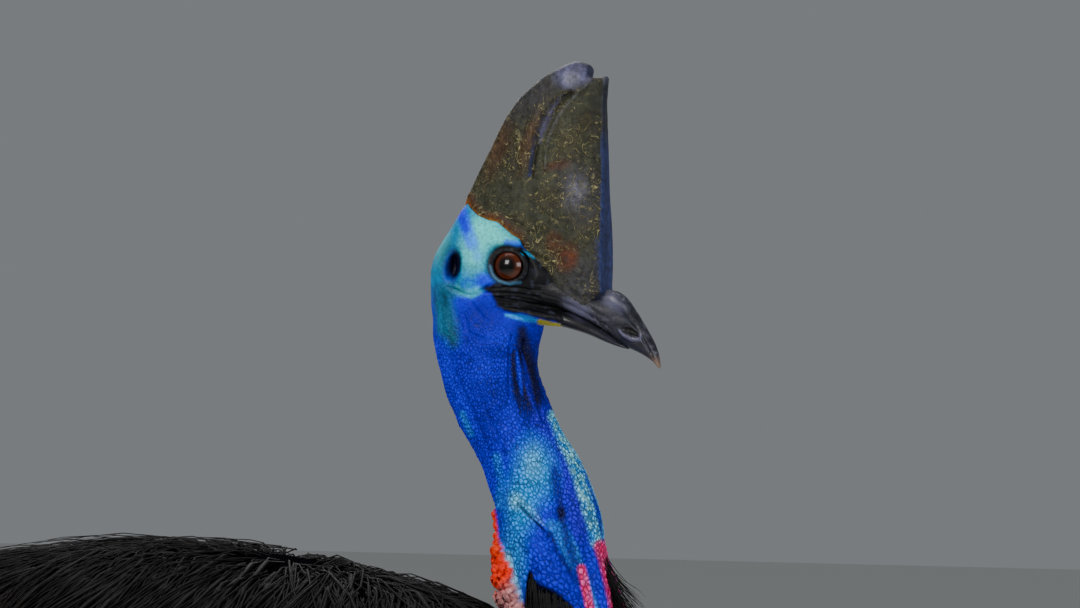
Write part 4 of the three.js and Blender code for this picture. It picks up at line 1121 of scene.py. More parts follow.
# Rust at the foot, painted shade in the groove, a painted highlight along the ridge and a painted sheen
# beside the groove
CASQUE_FOOT_MARKS = [
    (RUST, 0.75, dab, (37.1, 17.4), (6, 8), 0.7, 0.2),
    (RUST, 0.95, dab, (47.3, 5.7), (8, 10), 0.6, -0.4),
    (DARK_HORN_AND_SHADE, 0.5, dab, (46.2, 4.7), (2.5, 3.5), 0.7),
    (DARK_HORN_AND_SHADE, 0.85, stroke, CASQUE_GROOVE, 2.4, 0.9),
    (PALE_HORN_AND_HIGHLIGHT, 0.22, stroke, CASQUE_RIDGE, 1.2, 0.9, 0.8),
    (KNOB, 0.6, stroke, [(43.8, 132.6), (35.7, 122.5), (29.2, 109.2), (24.7, 93.6)], 2.4, 1.0, 0.9),
]


def colour_casque(points, quads, rim):
    """The horn's colours with its painted highlights and shade, and how much of the worn lines shows at each
    point.
    """
    uv = side_view(points)
    u, v = uv
    normals = vertex_normals(points, quads)
    fine = noise3(points, 4, 31)
    broad = noise3(points, 20, 32)
    c = np.tile(HORN, (len(points), 1))
    c = blended(c, OLIVE, smooth_step(broad, 0.4, 0.7) * 0.8)
    c = marked(c, uv, CASQUE_SIDE_MARKS)
    c = blended(c, STONE, smooth_step(-v, -24, 12) * smooth_step(u, 28, 52) * 0.8)
    c = marked(c, uv, CASQUE_TOP_MARKS)
    band = (1 - smooth_step(rim, 2.5, 9.0)) * (1 - smooth_step(u, 8, 18))
    c = blended(c, RUST, band * (0.6 + 0.4 * fine))
    c = blended(c, OCHRE, (1 - smooth_step(rim, 0.6, 3.0)) * (1 - smooth_step(u, 4, 14)) * 0.85)
    c = marked(c, uv, CASQUE_FOOT_MARKS)
    # Painted blue-grey highlight on the faces that look forward and down the lower front
    front = smooth_step(normals[:, 0], 0.5, 0.8)
    c = blended(c, FRONT_HIGHLIGHT_BLUE, front * 0.9 * (1 - 0.75 * smooth_step(v, 85, 110)))
    c = blended(c, FRONT_HIGHLIGHT_BLUE, stroke(uv, [(75.1, 18.3), (75.7, 0.8), (77.7, -15.8)], 4.5, 0.7) * 0.8)
    # Painted shade in a band between the side and the front
    c = blended(c, DARK_HORN_AND_SHADE, smooth_step(u, 64, 69) * (1 - front) * (1 - smooth_step(u, 74, 78)) * 0.5)
    c = c * (0.75 + 0.5 * fine[:, None])
    calm = np.maximum(dab(uv, (52.7, 149), (15, 11), 0.4), dab(uv, (17.9, 132.6), (20, 11), 0.7, 0.7) * 0.7)
    scratch = (1 - front) * (1 - calm) * (0.45 + 0.55 * smooth_step(broad, 0.3, 0.6))
    scratch *= 1 - 0.6 * smooth_step(-v, 10, 30)
    return c, scratch


def lofted_rings(rings):
    """Points and quads of a tube through rings."""
    count, around = rings.shape[:2]
    points = rings.reshape(-1, 3)
    faces = []
    for i in range(count - 1):
        j = np.arange(around)
        k = (j + 1) % around
        corners = [i * around + j, i * around + k, (i + 1) * around + k, (i + 1) * around + j]
        faces.append(np.stack(corners, 1))
    return points, np.vstack(faces)


def capped(points, around):
    """The points with one more at the middle of each end ring, and the triangles to these two."""
    first, last = points[:around].mean(0), points[-around:].mean(0)
    points = np.vstack([points, first, last])
    n = len(points)
    j = np.arange(around)
    k = (j + 1) % around
    base = n - 2 - around
    triangles = [(int(b), int(a), n - 2) for a, b in zip(j, k)]
    triangles += [(int(base + a), int(base + b), n - 1) for a, b in zip(j, k)]
    return points, triangles


def ring_object(name, rings):
    """A closed, smooth body through rings of points in millimetres."""
    rings = np.asarray(rings, float)
    points, faces = lofted_rings(rings)
    points, triangles = capped(points, rings.shape[1])
    mesh = bpy.data.meshes.new(name)
    polygons = [tuple(int(i) for i in f) for f in faces] + triangles
    centre = points.mean(0)
    a, b, c = points[faces[:, 0]], points[faces[:, 1]], points[faces[:, 2]]
    volume = (np.cross(b - a, c - a) * (a - centre)).sum()
    if volume < 0:
        polygons = [p[::-1] for p in polygons]
    mesh.from_pydata(place(points).tolist(), [], polygons)
    mesh.polygons.foreach_set("use_smooth", np.ones(len(mesh.polygons), bool))
    obj = bpy.data.objects.new(name, mesh)
    bpy.context.scene.collection.objects.link(obj)
    return obj, points


def lying_rings(rows, keys, around, pinch, flat):
    """Rings across a lying loft whose rows are forward, top, bottom, half width."""
    sizes = follow(rows, keys)
    turn = np.arange(around) / around * 2 * np.pi
    across, along = (np.sign(t) * np.abs(t) ** flat for t in (np.sin(turn), np.cos(turn)))
    narrow = 1 - pinch * np.clip(along, 0, None) ** 2
    rings = []
    for key, (top, bottom, wide) in zip(keys, sizes):
        level = (top + bottom) / 2
        z = level + np.where(along > 0, along * (top - level), along * (level - bottom))
        rings.append(np.stack([np.full(around, key), wide * across * narrow, EYE_HEIGHT + z], 1))
    return np.array(rings)


def eye_level(points, way=-1):
    """Points with heights from the eye instead of the floor, or the other way round with way 1."""
    out = points.copy()
    out[:, 2] += way * EYE_HEIGHT
    return out


NOSTRIL = [(92.5, -49.9), (98, -50.9), (104.1, -53.4)]
NOSTRIL_RIM = [(89.3, -49.9), (92.9, -53.8), (99, -56.9), (106.1, -56.9), (106.7, -53)]


def build_upper_bill():
    """Rings of the upper bill, carved."""
    keys = np.concatenate([np.linspace(24, 116, 96), np.linspace(116.8, 122.6, 14)])
    rings = lying_rings(BILL_ROWS, keys, 84, 0.42, 0.9)
    flat = rings.reshape(-1, 3)
    p = eye_level(flat)
    centre = follow(BILL_ROWS, p[:, 0])
    inward = np.stack([0 * p[:, 0], p[:, 1], p[:, 2] - (centre[:, 0] + centre[:, 1]) / 2], 1)
    inward /= np.linalg.norm(inward, axis=1, keepdims=True) + 1e-9
    uv = side_view(p)
    aside = smooth_step(np.abs(p[:, 1]), 2.0, 5.0)
    push = np.zeros(len(p))
    # A plate along the culmen with a groove below it, a nostril slit, ridges by the cutting edge
    plate = [(70, -24), (82, -26), (92, -32), (101, -44), (109, -57), (114, -67)]
    push -= 1.5 * stroke(uv, plate, 1.6, 0.9, 0.4) * aside
    push += 0.9 * stroke(uv, [(a + 2.0, b + 5.5) for a, b in plate], 3.2, 0.9, 0.3)
    push -= 3.6 * stroke(uv, NOSTRIL, 2.6, 0.5, 0.5) * aside
    push += 0.8 * stroke(uv, NOSTRIL_RIM, 1.4, 0.9, 0.4) * aside
    for line, depth in (
        ([(26, -22), (40, -26), (56, -33), (72, -42), (84, -50)], 0.8),
        ([(30, -26), (46, -30), (62, -38), (78, -48)], 0.7),
        ([(44, -18), (56, -26), (68, -34), (80, -42)], 0.6),
    ):
        push -= depth * stroke(uv, line, 1.2, 0.9, 0.5) * aside
    push += 0.5 * (noise3(p * np.array([0.35, 1, 1]), 4.5, 41) - 0.5)
    flat = flat + inward * push[:, None]
    return flat.reshape(rings.shape)


def build_lower_bill():
    """The horn of the jaw, narrower at its root so that it comes out of the skin."""
    rings = lying_rings(JAW_ROWS, np.linspace(34, 97, 80), 64, 0.0, 0.85)
    middle = rings.mean(1, keepdims=True)
    swell = 1.01 - 0.2 * (1 - smooth_step(middle[..., :1], 34, 58))
    return middle + (rings - middle) * swell


LAVENDER = colour("5A5A74")
BILL_BLACK = colour("121216")
BILL_GREY = colour("2A2A36")
BILL_TIP = colour("7A6454")
BILL_WEAR_AND_HIGHLIGHT = colour("777788")


def colour_bill(points):
    """Tones of both halves of the bill, with worn flecks that are partly a painted highlight, and painted
    shade in the nostril.
    """
    p = eye_level(points)
    uv = side_view(p)
    fine = noise3(p * np.array([0.4, 1, 1]), 3, 51)
    c = np.tile(BILL_BLACK, (len(p), 1))
    c = blended(c, BILL_GREY, smooth_step(uv[0], 58, 78) * (0.35 + 0.3 * fine))
    c = blended(c, LAVENDER, dab(uv, (56, -34), (12, 5.5), 0.7, -0.55) * 0.7)
    c = blended(c, LAVENDER, dab(uv, (84, -28), (12, 5), 0.7, -0.6) * 0.5)
    c = blended(c, BILL_TIP, smooth_step(-p[:, 2], 66, 78) * 0.8)
    patches = 0.3 + 0.7 * smooth_step(noise3(p, 8, 53), 0.35, 0.65)
    worn = smooth_step(noise3(p, 1.7, 52), 0.5, 0.8) * patches
    # Pale worn flecks along the culmen, where they are partly a painted highlight, and along the side
    culmen = [(80.7, -13.8), (92.9, -21.6), (104.1, -34.3), (113.2, -49.9), (120.3, -65.5)]
    c = blended(c, BILL_WEAR_AND_HIGHLIGHT, stroke(uv, culmen, 4.0, 0.8) * worn * 0.6)
    middle = [(46.2, -26.5), (62.5, -34.3), (78.7, -44.1)]
    c = blended(c, BILL_WEAR_AND_HIGHLIGHT, stroke(uv, middle, 5.0, 0.9) * worn * 0.4)
    c = blended(c, LAVENDER, stroke(uv, NOSTRIL_RIM, 1.1, 0.8, 0.4) * 0.9)
    # The nostril's slit painted near black, a painted shade for its opening
    c = blended(c, np.zeros(3) + 0.002, stroke(uv, NOSTRIL, 2.6, 0.4, 0.5))
    return np.clip(c, 0, 1)


def build_eye(name, side):
    """An eyeball with a slight bulge of cornea, iris and pupil told apart by distance from its axis."""
    keys = np.concatenate([np.linspace(0, 0.9, 40), np.linspace(0.95, math.pi, 30)])[1:-1]
    around = 64
    rings = []
    for k in keys:
        bulge = 0.9 * math.exp(-((k / 0.5) ** 2))
        r = (EYE_RADIUS + bulge) * math.sin(k)
        y = (EYE_RADIUS + bulge) * math.cos(k)
        turn = np.arange(around) / around * 2 * np.pi
        x, z = EYE_FORWARD + r * np.cos(turn), EYE_HEIGHT + r * np.sin(turn)
        rings.append(np.stack([x, np.full(around, side * (EYE_SIDE + y)), z], 1))
    obj, points = ring_object(name, rings)
    away = np.hypot(points[:, 0] - EYE_FORWARD, points[:, 2] - EYE_HEIGHT)
    front = side * (points[:, 1] - side * EYE_SIDE) > 0
    measure(obj, "away", np.where(front, away, 30.0))
    return obj


def claw_rings(toe, side):
    """Rings of a claw that bends down to the floor at its tip."""
    turn, length, _, _, claw, radius = TOES[toe]
    a = math.radians(turn) * SIDES[side]
    ahead = np.array([math.cos(a), math.sin(a), 0])
    across = np.array([-math.sin(a), math.cos(a), 0])
    cx, cy = foot_middle(side)
    start = np.array([cx, cy, 0]) + ahead * (length - 15)
    rings = []
    for t in np.linspace(0, 1, 36):
        r = radius * (1 - t) ** 0.75 + 0.6
        rest = radius + 1.6
        height = rest + 3.5 * math.sin(math.pi * t) - (rest - 2.6) * t**1.6
        middle = start + ahead * (claw + 15) * t + np.array([0, 0, height])
        around = np.arange(24) / 24 * 2 * np.pi
        ridge = 1 - 0.12 * np.abs(np.sin(around)) ** 2
        aside = across * (0.8 * r * np.sin(around) * ridge)[:, None]
        rings.append(middle + aside + np.array([0, 0, 1.0]) * (r * np.cos(around))[:, None])
    return rings


def torso_point(x, turn, out):
    """A point off the trunk at a forward distance and a turn from the top."""
    row = follow(TORSO_ROWS, x)
    top, bottom, wide = row[..., 0], row[..., 1], row[..., 2]
    high = (top - bottom) / 2
    normal = np.stack([0 * turn, np.sin(turn) / wide, np.cos(turn) / high], -1)
    normal /= np.linalg.norm(normal, axis=-1, keepdims=True)
    at = np.stack([x + 0 * turn, wide * np.sin(turn), (top + bottom) / 2 + high * np.cos(turn)], -1)
    return at + normal * out


def wing_pieces(side):
    """Bare quills that hang over the side of the coat, each a thin tapered tube."""
    sign = SIDES[side]
    forward, turn = WING
    quills = []
    for i, share in enumerate(np.linspace(0, 1, QUILLS)):
        rings = []
        ts = np.linspace(0, 1, 34)
        run = ts * (1 - 0.1 * abs(share - 0.4))
        back = 22 * share + 95 * run + 25 * share * run
        angle = np.radians(turn + 2 + (52 - 22 * share) * run) * sign
        first = COAT_TRUNK - 8
        out = first + 9 * np.minimum(1, 2.5 * ts) + (i % 2) * 1.5
        places = zip(back, angle, out)
        path = np.array([torso_point(np.array(forward - 8 - b), np.array(a), o) for b, a, o in places])
        ahead = np.gradient(path, axis=0)
        ahead /= np.linalg.norm(ahead, axis=1, keepdims=True)
        aside = np.cross(ahead, [1.0, 0, 0])
        aside /= np.linalg.norm(aside, axis=1, keepdims=True)
        over = np.cross(aside, ahead)
        around = np.arange(10) / 10 * 2 * np.pi
        for p, s, o, t in zip(path, aside, over, ts):
            r = 2.6 * (1 - 0.62 * t)
            circle = s[None] * np.cos(around)[:, None] + o[None] * np.sin(around)[:, None]
            rings.append(p + circle * r)
        quill, _ = ring_object(f"quill_{side}_{i}", rings)
        quills.append(quill)
    return quills


def off_core(p):
    """About how far points lie outside the core of trunk and neck base, negative inside."""
    row = follow(TORSO_ROWS, p[:, 0])
    top, bottom, wide = row[:, 0], row[:, 1], row[:, 2]
    high = (top - bottom) / 2
    size = np.minimum(wide, high)
    round_ = (np.hypot(p[:, 1] / wide, (p[:, 2] - (top + bottom) / 2) / high) - 1) * size
    beyond = np.maximum(TORSO_ROWS[-1][0] - p[:, 0], p[:, 0] - TORSO_ROWS[0][0])
    torso = np.where(beyond > 0, np.hypot(np.maximum(round_, 0), np.maximum(beyond, 0)), round_)
    z = p[:, 2] - EYE_HEIGHT
    row = follow(COLLAR_ROWS, z)
    middle, deep, broad = row[:, 0], row[:, 1], row[:, 2]
    about = (np.hypot((p[:, 0] - middle) / deep, p[:, 1] / broad) - 1) * np.minimum(deep, broad)
    past = np.maximum(COLLAR_ROWS[-1][0] - z, z - COLLAR_ROWS[0][0])
    collar = np.where(past > 0, np.hypot(np.maximum(about, 0), np.maximum(past, 0)), about)
    return np.minimum(torso, collar)


def outwards(p):
    """The way out of the core at points."""
    reach = 2.0
    g = np.zeros_like(p)
    for axis in range(3):
        step = np.zeros(3)
        step[axis] = reach
        g[:, axis] = off_core(p + step) - off_core(p - step)
    return g / (np.linalg.norm(g, axis=1, keepdims=True) + 1e-9)


def set_off(p, distance, rounds=2):
    """Points moved to a distance from the core."""
    for _ in range(rounds):
        p = p + outwards(p) * (distance - off_core(p))[:, None]
    return p


def lie(p):
    """The lie of the coat: back and down along the trunk, down at chest, neck base and rump."""
    collar = smooth_step(p[:, 2], 985, 1075)
    chest = smooth_step(p[:, 0], -60, 60)
    rump = 1 - smooth_step(p[:, 0], RUMP_TO, RUMP_FROM)
    down = 0.62 + 1.5 * np.maximum(collar, 0.5 * chest) + RUMP_DROOP * rump
    way = np.stack([-1 + 0.75 * np.maximum(collar, 0.4 * chest), 0 * down, -down], 1)
    return way / np.linalg.norm(way, axis=1, keepdims=True)


def coat_depth(p):
    """How thick the coat is at points, thin on the neck base."""
    below = smooth_step(EYE_HEIGHT - p[:, 2], 262, 400)
    behind = smooth_step(-p[:, 0], 20, 140)
    return COAT_COLLAR + (COAT_TRUNK - COAT_COLLAR) * np.maximum(below, behind)


def unit(v):
    """Vectors at length one."""
    return v / (np.linalg.norm(v, axis=-1, keepdims=True) + 1e-9)


# Steps that scatter pairs evenly over a square
SPREAD_STEPS = (0.7548776662466927, 0.5698402909980532)


def spread(count, start):
    """Evenly scattered pairs from 0 to 1."""
    i = np.arange(count)
    return np.stack([(start + step * i) % 1 for step in SPREAD_STEPS], 1)


def grown(roots, length, lift, sway, free):
    """Paths from roots along the lie. lift is the share of the coat's depth that the tip reaches,
    sway turns the way ahead to the side, free lets the last stretch hang."""
    at = set_off(roots, np.zeros(len(roots)), 2)
    paths, outs = [], []
    for i, stage in enumerate(STAGES):
        out = outwards(at)
        depth = -3.0 + (coat_depth(at) * lift + 3.0) * stage**0.62
        paths.append(at + out * depth[:, None])
        outs.append(out)
        if i == len(STAGES) - 1:
            break
        way = lie(at)
        aside = np.cross(way, out)
        way = way + unit(aside) * sway[:, None]
        along = unit(way - out * (way * out).sum(1, keepdims=True))
        step = (length * (STAGES[i + 1] - stage))[:, None]
        held = set_off(at + along * step, np.zeros(len(at)), 1)
        hanging = at + unit(way) * step
        loose = (free * (STAGES[i + 1] > 0.5))[:, None]
        at = held * (1 - loose) + hanging * loose
    return np.stack(paths, 1), np.stack(outs, 1)


def gathered(paths, guides, share):
    """Strands drawn together towards the nearest guide's tip, so that they hang in locks."""
    tree = KDTree(len(guides))
    for i, g in enumerate(guides[:, 0]):
        tree.insert(g, i)
    tree.balance()
    nearest = np.array([tree.find(p)[1] for p in paths[:, 0]])
    own = guides[nearest]
    stages = np.linspace(0, 1, paths.shape[1])[None, :, None]
    pull = share[:, None, None] * stages**1.3
    offset = (paths[:, :1] - own[:, :1]) * (1 - 0.6 * stages)
    return paths * (1 - pull) + (own + offset) * pull, nearest


def strand_object(name, paths, outs, width, thick, root_uv, shade):
    """One mesh of closed, three-sided, tapered strands."""
    count, stations = paths.shape[:2]
    ahead = unit(np.gradient(paths, axis=1))
    side = unit(np.cross(ahead, outs))
    out = unit(np.cross(side, ahead))
    t = np.linspace(0, 1, stations)
    profile = np.interp(t, [0, 0.2, 0.6, 1], [0.55, 1.0, 0.85, 0.0])
    half = (width[:, None] * profile[None])[..., None] / 2
    deep = (thick[:, None] * np.maximum(profile, 0.2)[None])[..., None]
    corners = [
        paths + side * half - out * deep * 0.35,
        paths + out * deep * 0.65,
        paths - side * half - out * deep * 0.35,
    ]
    rings = np.stack(corners, 2)
    body = rings[:, :-1].reshape(count, (stations - 1) * 3, 3)
    tips = paths[:, -1:, :]
    points = np.concatenate([body, tips], 1)
    per = points.shape[1]
    faces = []
    for s in range(stations - 2):
        a = s * 3
        for k in range(3):
            m = (k + 1) % 3
            faces.append((a + k, a + m, a + 3 + m))
            faces.append((a + k, a + 3 + m, a + 3 + k))
    a = (stations - 2) * 3
    for k in range(3):
        faces.append((a + k, a + (k + 1) % 3, per - 1))
    faces.append((2, 1, 0))
    faces = np.array(faces)
    # Turn faces out, judged on the first strand
    p = points[0]
    centre = p.mean(0)
    a, b, c = (p[faces[:, i]] for i in range(3))
    if (np.cross(b - a, c - a) * (a - centre)).sum() < 0:
        faces = faces[:, ::-1]
    whole = (faces[None] + (np.arange(count) * per)[:, None, None]).reshape(-1, 3)
    obj = mesh_object(name, place(points.reshape(-1, 3)), whole)
    patch = np.zeros((per, 2))
    for s in range(stations - 1):
        for k in range(3):
            patch[s * 3 + k] = ((k - 1) * 0.0013, (t[s] - 0.5) * 0.0028)
    patch[-1] = (0, 0.0014)
    uv = (root_uv[:, None] + patch[None]).reshape(-1, 2)
    layer = obj.data.uv_layers.new(name="OFBake")
    loops = np.zeros(len(obj.data.loops), np.int32)
    obj.data.loops.foreach_get("vertex_index", loops)
    layer.data.foreach_set("uv", uv[loops].astype(np.float32).ravel())
    measure(obj, "shade", np.repeat(shade, per))
    run = np.concatenate([np.repeat(t[:-1], 3), [1.0]])
    measure(obj, "run", np.tile(run, count))
    return obj


# Shares of a strand's length at its stations
STAGES = np.array([0, 0.18, 0.46, 0.76, 1.0])
# The roots' range of heights on the neck base
COLLAR_TOP = -284.0
COLLAR_BOTTOM = -436.0
# Bands across the unwrap for the parts that strands grow on
TRUNK_UV = (0.01, 0.60)
COLLAR_UV = (0.62, 0.72)
NECK_UV = (0.73, 0.79)
THIGH_UV = {"right": (0.80, 0.89), "left": (0.90, 0.99)}


def on_unwrap(band, pairs):
    """Places on the skin's unwrap, in the band across that belongs to a part."""
    return np.stack([band[0] + (band[1] - band[0]) * pairs[:, 0], 0.01 + 0.98 * pairs[:, 1]], 1)


def torso_roots(count, start):
    """Roots spread evenly over the trunk, with their place on its unwrap."""
    xs = np.linspace(-698, 66, 400)
    row = follow(TORSO_ROWS, xs)
    girth = np.pi * (row[:, 2] + (row[:, 0] - row[:, 1]) / 2)
    slope = np.gradient(row[:, 2] + (row[:, 0] - row[:, 1]) / 2, xs) / 2
    area = np.cumsum(girth * np.hypot(1, slope))
    pairs = spread(count, start)
    x = np.interp(pairs[:, 0] * area[-1], area, xs)
    turn = pairs[:, 1] * 2 * np.pi
    roots = torso_point(x, turn, np.zeros((count, 1)))
    uv = on_unwrap(TRUNK_UV, pairs)
    keep = off_core(roots) > -6
    return roots[keep], uv[keep]


def collar_roots(count, start):
    """Roots spread over the neck base, with their place on its unwrap."""
    pairs = spread(count, start)
    z = COLLAR_TOP + (COLLAR_BOTTOM - COLLAR_TOP) * pairs[:, 0]
    row = follow(COLLAR_ROWS, z)
    turn = pairs[:, 1] * 2 * np.pi
    roots = np.stack([row[:, 0] + row[:, 1] * np.cos(turn), row[:, 2] * np.sin(turn), EYE_HEIGHT + z], 1)
    uv = on_unwrap(COLLAR_UV, pairs)
    keep = off_core(roots) > -5
    return roots[keep], uv[keep]


def rump_share(roots):
    """From 0 at the back to 1 at the tail end."""
    return 1 - smooth_step(roots[:, 0], RUMP_TO, RUMP_FROM)


def guide_paths(rng):
    """The middle line of each lock that strands are gathered towards."""
    roots_t, _ = torso_roots(TRUNK_LOCKS, 0.21)
    roots_c, _ = collar_roots(COLLAR_LOCKS, 0.37)
    roots = np.vstack([roots_t, roots_c])
    collar = np.r_[np.zeros(len(roots_t)), np.ones(len(roots_c))]
    rump = rump_share(roots)
    length = (LOCK_LENGTH * (1 - COLLAR_SHORTER * collar)) * (0.85 + 0.3 * rng.random(len(roots)))
    length = length * (1 + RUMP_LONGER * rump)
    guides, _ = grown(
        roots,
        length,
        0.72 + 0.26 * rng.random(len(roots)),
        (rng.random(len(roots)) - 0.5) * 0.3,
        RUMP_HANG * rump,
    )
    return guides


def kept_between(paths, floor, ceiling):
    """Strands moved to lie above the skin and no higher than the coat, their roots apart."""
    stations = paths.shape[1] - 1
    flat = paths[:, 1:].reshape(-1, 3)
    gap = off_core(flat)
    depth = coat_depth(flat)
    highest = depth * np.repeat(ceiling, stations) + 1.0
    lowest = np.minimum(np.repeat(floor, stations), 0.7 * depth)
    move = np.clip(gap, lowest, highest) - gap
    flat = flat + outwards(flat) * move[:, None]
    return np.concatenate([paths[:, :1], flat.reshape(len(paths), stations, 3)], 1)


def evened(paths):
    """Paths with their inner stations moved half way to the middle of their neighbours."""
    paths[:, 1:-1] = 0.5 * paths[:, 1:-1] + 0.25 * (paths[:, :-2] + paths[:, 2:])
    return paths


def plume_set(rng, guides, roots, uv, base_length, wide, thick, pull, name):
    """One piece of the coat: strands of a base length, width and thickness in millimetres."""
    rump = rump_share(roots)
    n = len(roots)
    length = base_length * (0.72 + 0.5 * rng.random(n)) * (1 + RUMP_LONGER * rump)
    lift = 0.42 + 0.52 * rng.random(n) ** 0.8
    paths, outs = grown(roots, length, lift, (rng.random(n) - 0.5) * 0.22, RUMP_HANG * rump)
    paths, nearest = gathered(paths, guides, pull * (0.6 + 0.4 * rng.random(n)))
    stages = STAGES[None, :, None]
    curl = (rng.random((n, 1, 3)) - 0.5) * 5.0 * stages**1.5
    paths = evened(paths + curl)
    floor = 1.0 + 6.0 * rng.random(n)
    loose = rng.random(n)
    ceiling = np.maximum(0.7 + 0.3 * loose, rump * (1.0 + 1.1 * loose**2))
    paths = kept_between(paths, floor, ceiling)
    paths = evened(evened(paths))
    paths = kept_between(paths, floor, ceiling + 0.2)
    shade = np.clip(0.5 + 0.28 * (rng.random(n) - 0.5) + 0.5 * (((nearest * 0.618) % 1) - 0.5), 0, 1)
    width = wide * (0.75 + 0.5 * rng.random(n))
    return strand_object(name, paths, outs, width, np.full(n, thick), uv, shade)


# Upper edge of the hair on the neck: places forward, and heights
HAIR_EDGE = (
    [-60, -20, 6, 12.2, 14.6, 17, 22.7, 29.2, 37.3, 45.4, 51.1, 57.6, 75, 100, 130],
    [-322, -312, -292, -268, -241, -231, -241, -243.5, -247, -253, -259, -267, -279, -283, -285],
)


def neck_hair(rng, count):
    """Fine hair feathers over the lower neck below the bare skin, and a few down its front."""
    pairs = spread(count, 0.11)
    z = -214 - 110 * pairs[:, 0]
    row = follow(NECK_ROWS, z)
    turn = pairs[:, 1] * 2 * np.pi
    cosine, sine = np.cos(turn), np.sin(turn)
    narrow = 1 - 0.22 * np.clip(cosine, 0, 1) ** 2
    out = unit(np.stack([cosine / row[:, 1], sine / row[:, 2], 0 * z], 1))
    roots = np.stack([row[:, 0] + row[:, 1] * cosine, row[:, 2] * sine * narrow, z], 1)
    u = roots[:, 0] - SIDE_SLANT * np.abs(roots[:, 1])
    edge = np.interp(u, *HAIR_EDGE)
    inside = z < edge - 1.5 + 3 * rng.random(count)
    # A few sparse hairs down the middle of the throat
    middle = np.abs(roots[:, 1]) < 0.14 * row[:, 2]
    sparse = (cosine > 0) & middle & (rng.random(count) < 0.55) & (z < -224) & ~inside
    keep = inside | sparse
    roots, out, z, pairs, sparse = roots[keep], out[keep], z[keep], pairs[keep], sparse[keep]
    n = len(roots)
    length = (34 + 34 * rng.random(n)) * (0.7 + 0.5 * smooth_step(-z, 230, 300))
    ahead = 0.18 + 0.22 * (rng.random(n) - 0.5)
    drift = unit(np.stack([ahead, 0.16 * (rng.random(n) - 0.5), -np.ones(n)], 1))
    wild = 24 * sparse * rng.random(n)
    paths = []
    for s in STAGES:
        here = roots + drift * (length * s)[:, None]
        row = follow(NECK_ROWS, here[:, 2])
        # Keep to the neck's own outline as it widens downwards
        du = (here[:, 0] - row[:, 0]) / row[:, 1]
        dv = here[:, 1] / row[:, 2]
        r = np.hypot(du, dv) + 1e-6
        scale = np.maximum(1, 1 / r)[:, None]
        centre = np.stack([row[:, 0], 0 * z, here[:, 2]], 1)
        on = centre + (here - centre) * np.concatenate([scale, scale, np.ones_like(scale)], 1)
        lift = -0.8 + (1.2 + 5.5 * rng.random(n)) * s + wild * s**1.4
        paths.append(on + out * lift[:, None])
    paths = np.stack(paths, 1)
    paths[:, :, 2] += EYE_HEIGHT
    outs = np.repeat(out[:, None], len(STAGES), 1)
    uv = on_unwrap(NECK_UV, pairs)
    width = (0.75 + 0.6 * rng.random(n)) * (1 - 0.4 * sparse)
    return strand_object("coat_neck", paths, outs, width, np.full(n, 0.5), uv, 0.3 + 0.5 * rng.random(n))


def thigh_plumes(rng, side, count):
    """Short strands that hang down round the thigh to the joint of the leg."""
    rows = leg_rows(THIGH_ROWS + SHANK_ROWS[1:4], side)
    pairs = spread(count, 0.43)
    z0 = 770 - 250 * pairs[:, 0]
    turn = pairs[:, 1] * 2 * np.pi
    length = (95 + 60 * rng.random(count)) * (1 - 0.25 * pairs[:, 0])
    sway = (rng.random(count) - 0.5) * 0.5
    paths, outs = [], []
    for s in STAGES:
        z = z0 - length * s
        row = tube_table(rows, z)
        t = turn + sway * s
        out = unit(np.stack([np.cos(t) / row[:, 2], np.sin(t) / row[:, 3], 0.12 + 0 * z], 1))
        lift = -3 + (3 + 16 * (0.3 + 0.7 * pairs[:, 0])) * s
        at = np.stack([row[:, 0] + row[:, 2] * np.cos(t), row[:, 1] + row[:, 3] * np.sin(t), z], 1)
        paths.append(at + out * lift[:, None])
        outs.append(out)
    paths, outs = np.stack(paths, 1), np.stack(outs, 1)
    keep = off_core(paths[:, 0]) > -8
    paths = paths + (rng.random((count, 1, 3)) - 0.5) * 7 * STAGES[None, :, None] ** 1.5
    uv = on_unwrap(THIGH_UV[side], pairs)
    n = int(keep.sum())
    width = 2.2 + 2.4 * rng.random(n)
    thick = np.full(n, 0.8)
    name = f"coat_thigh_{side}"
    return strand_object(name, paths[keep], outs[keep], width, thick, uv[keep], rng.random(n))


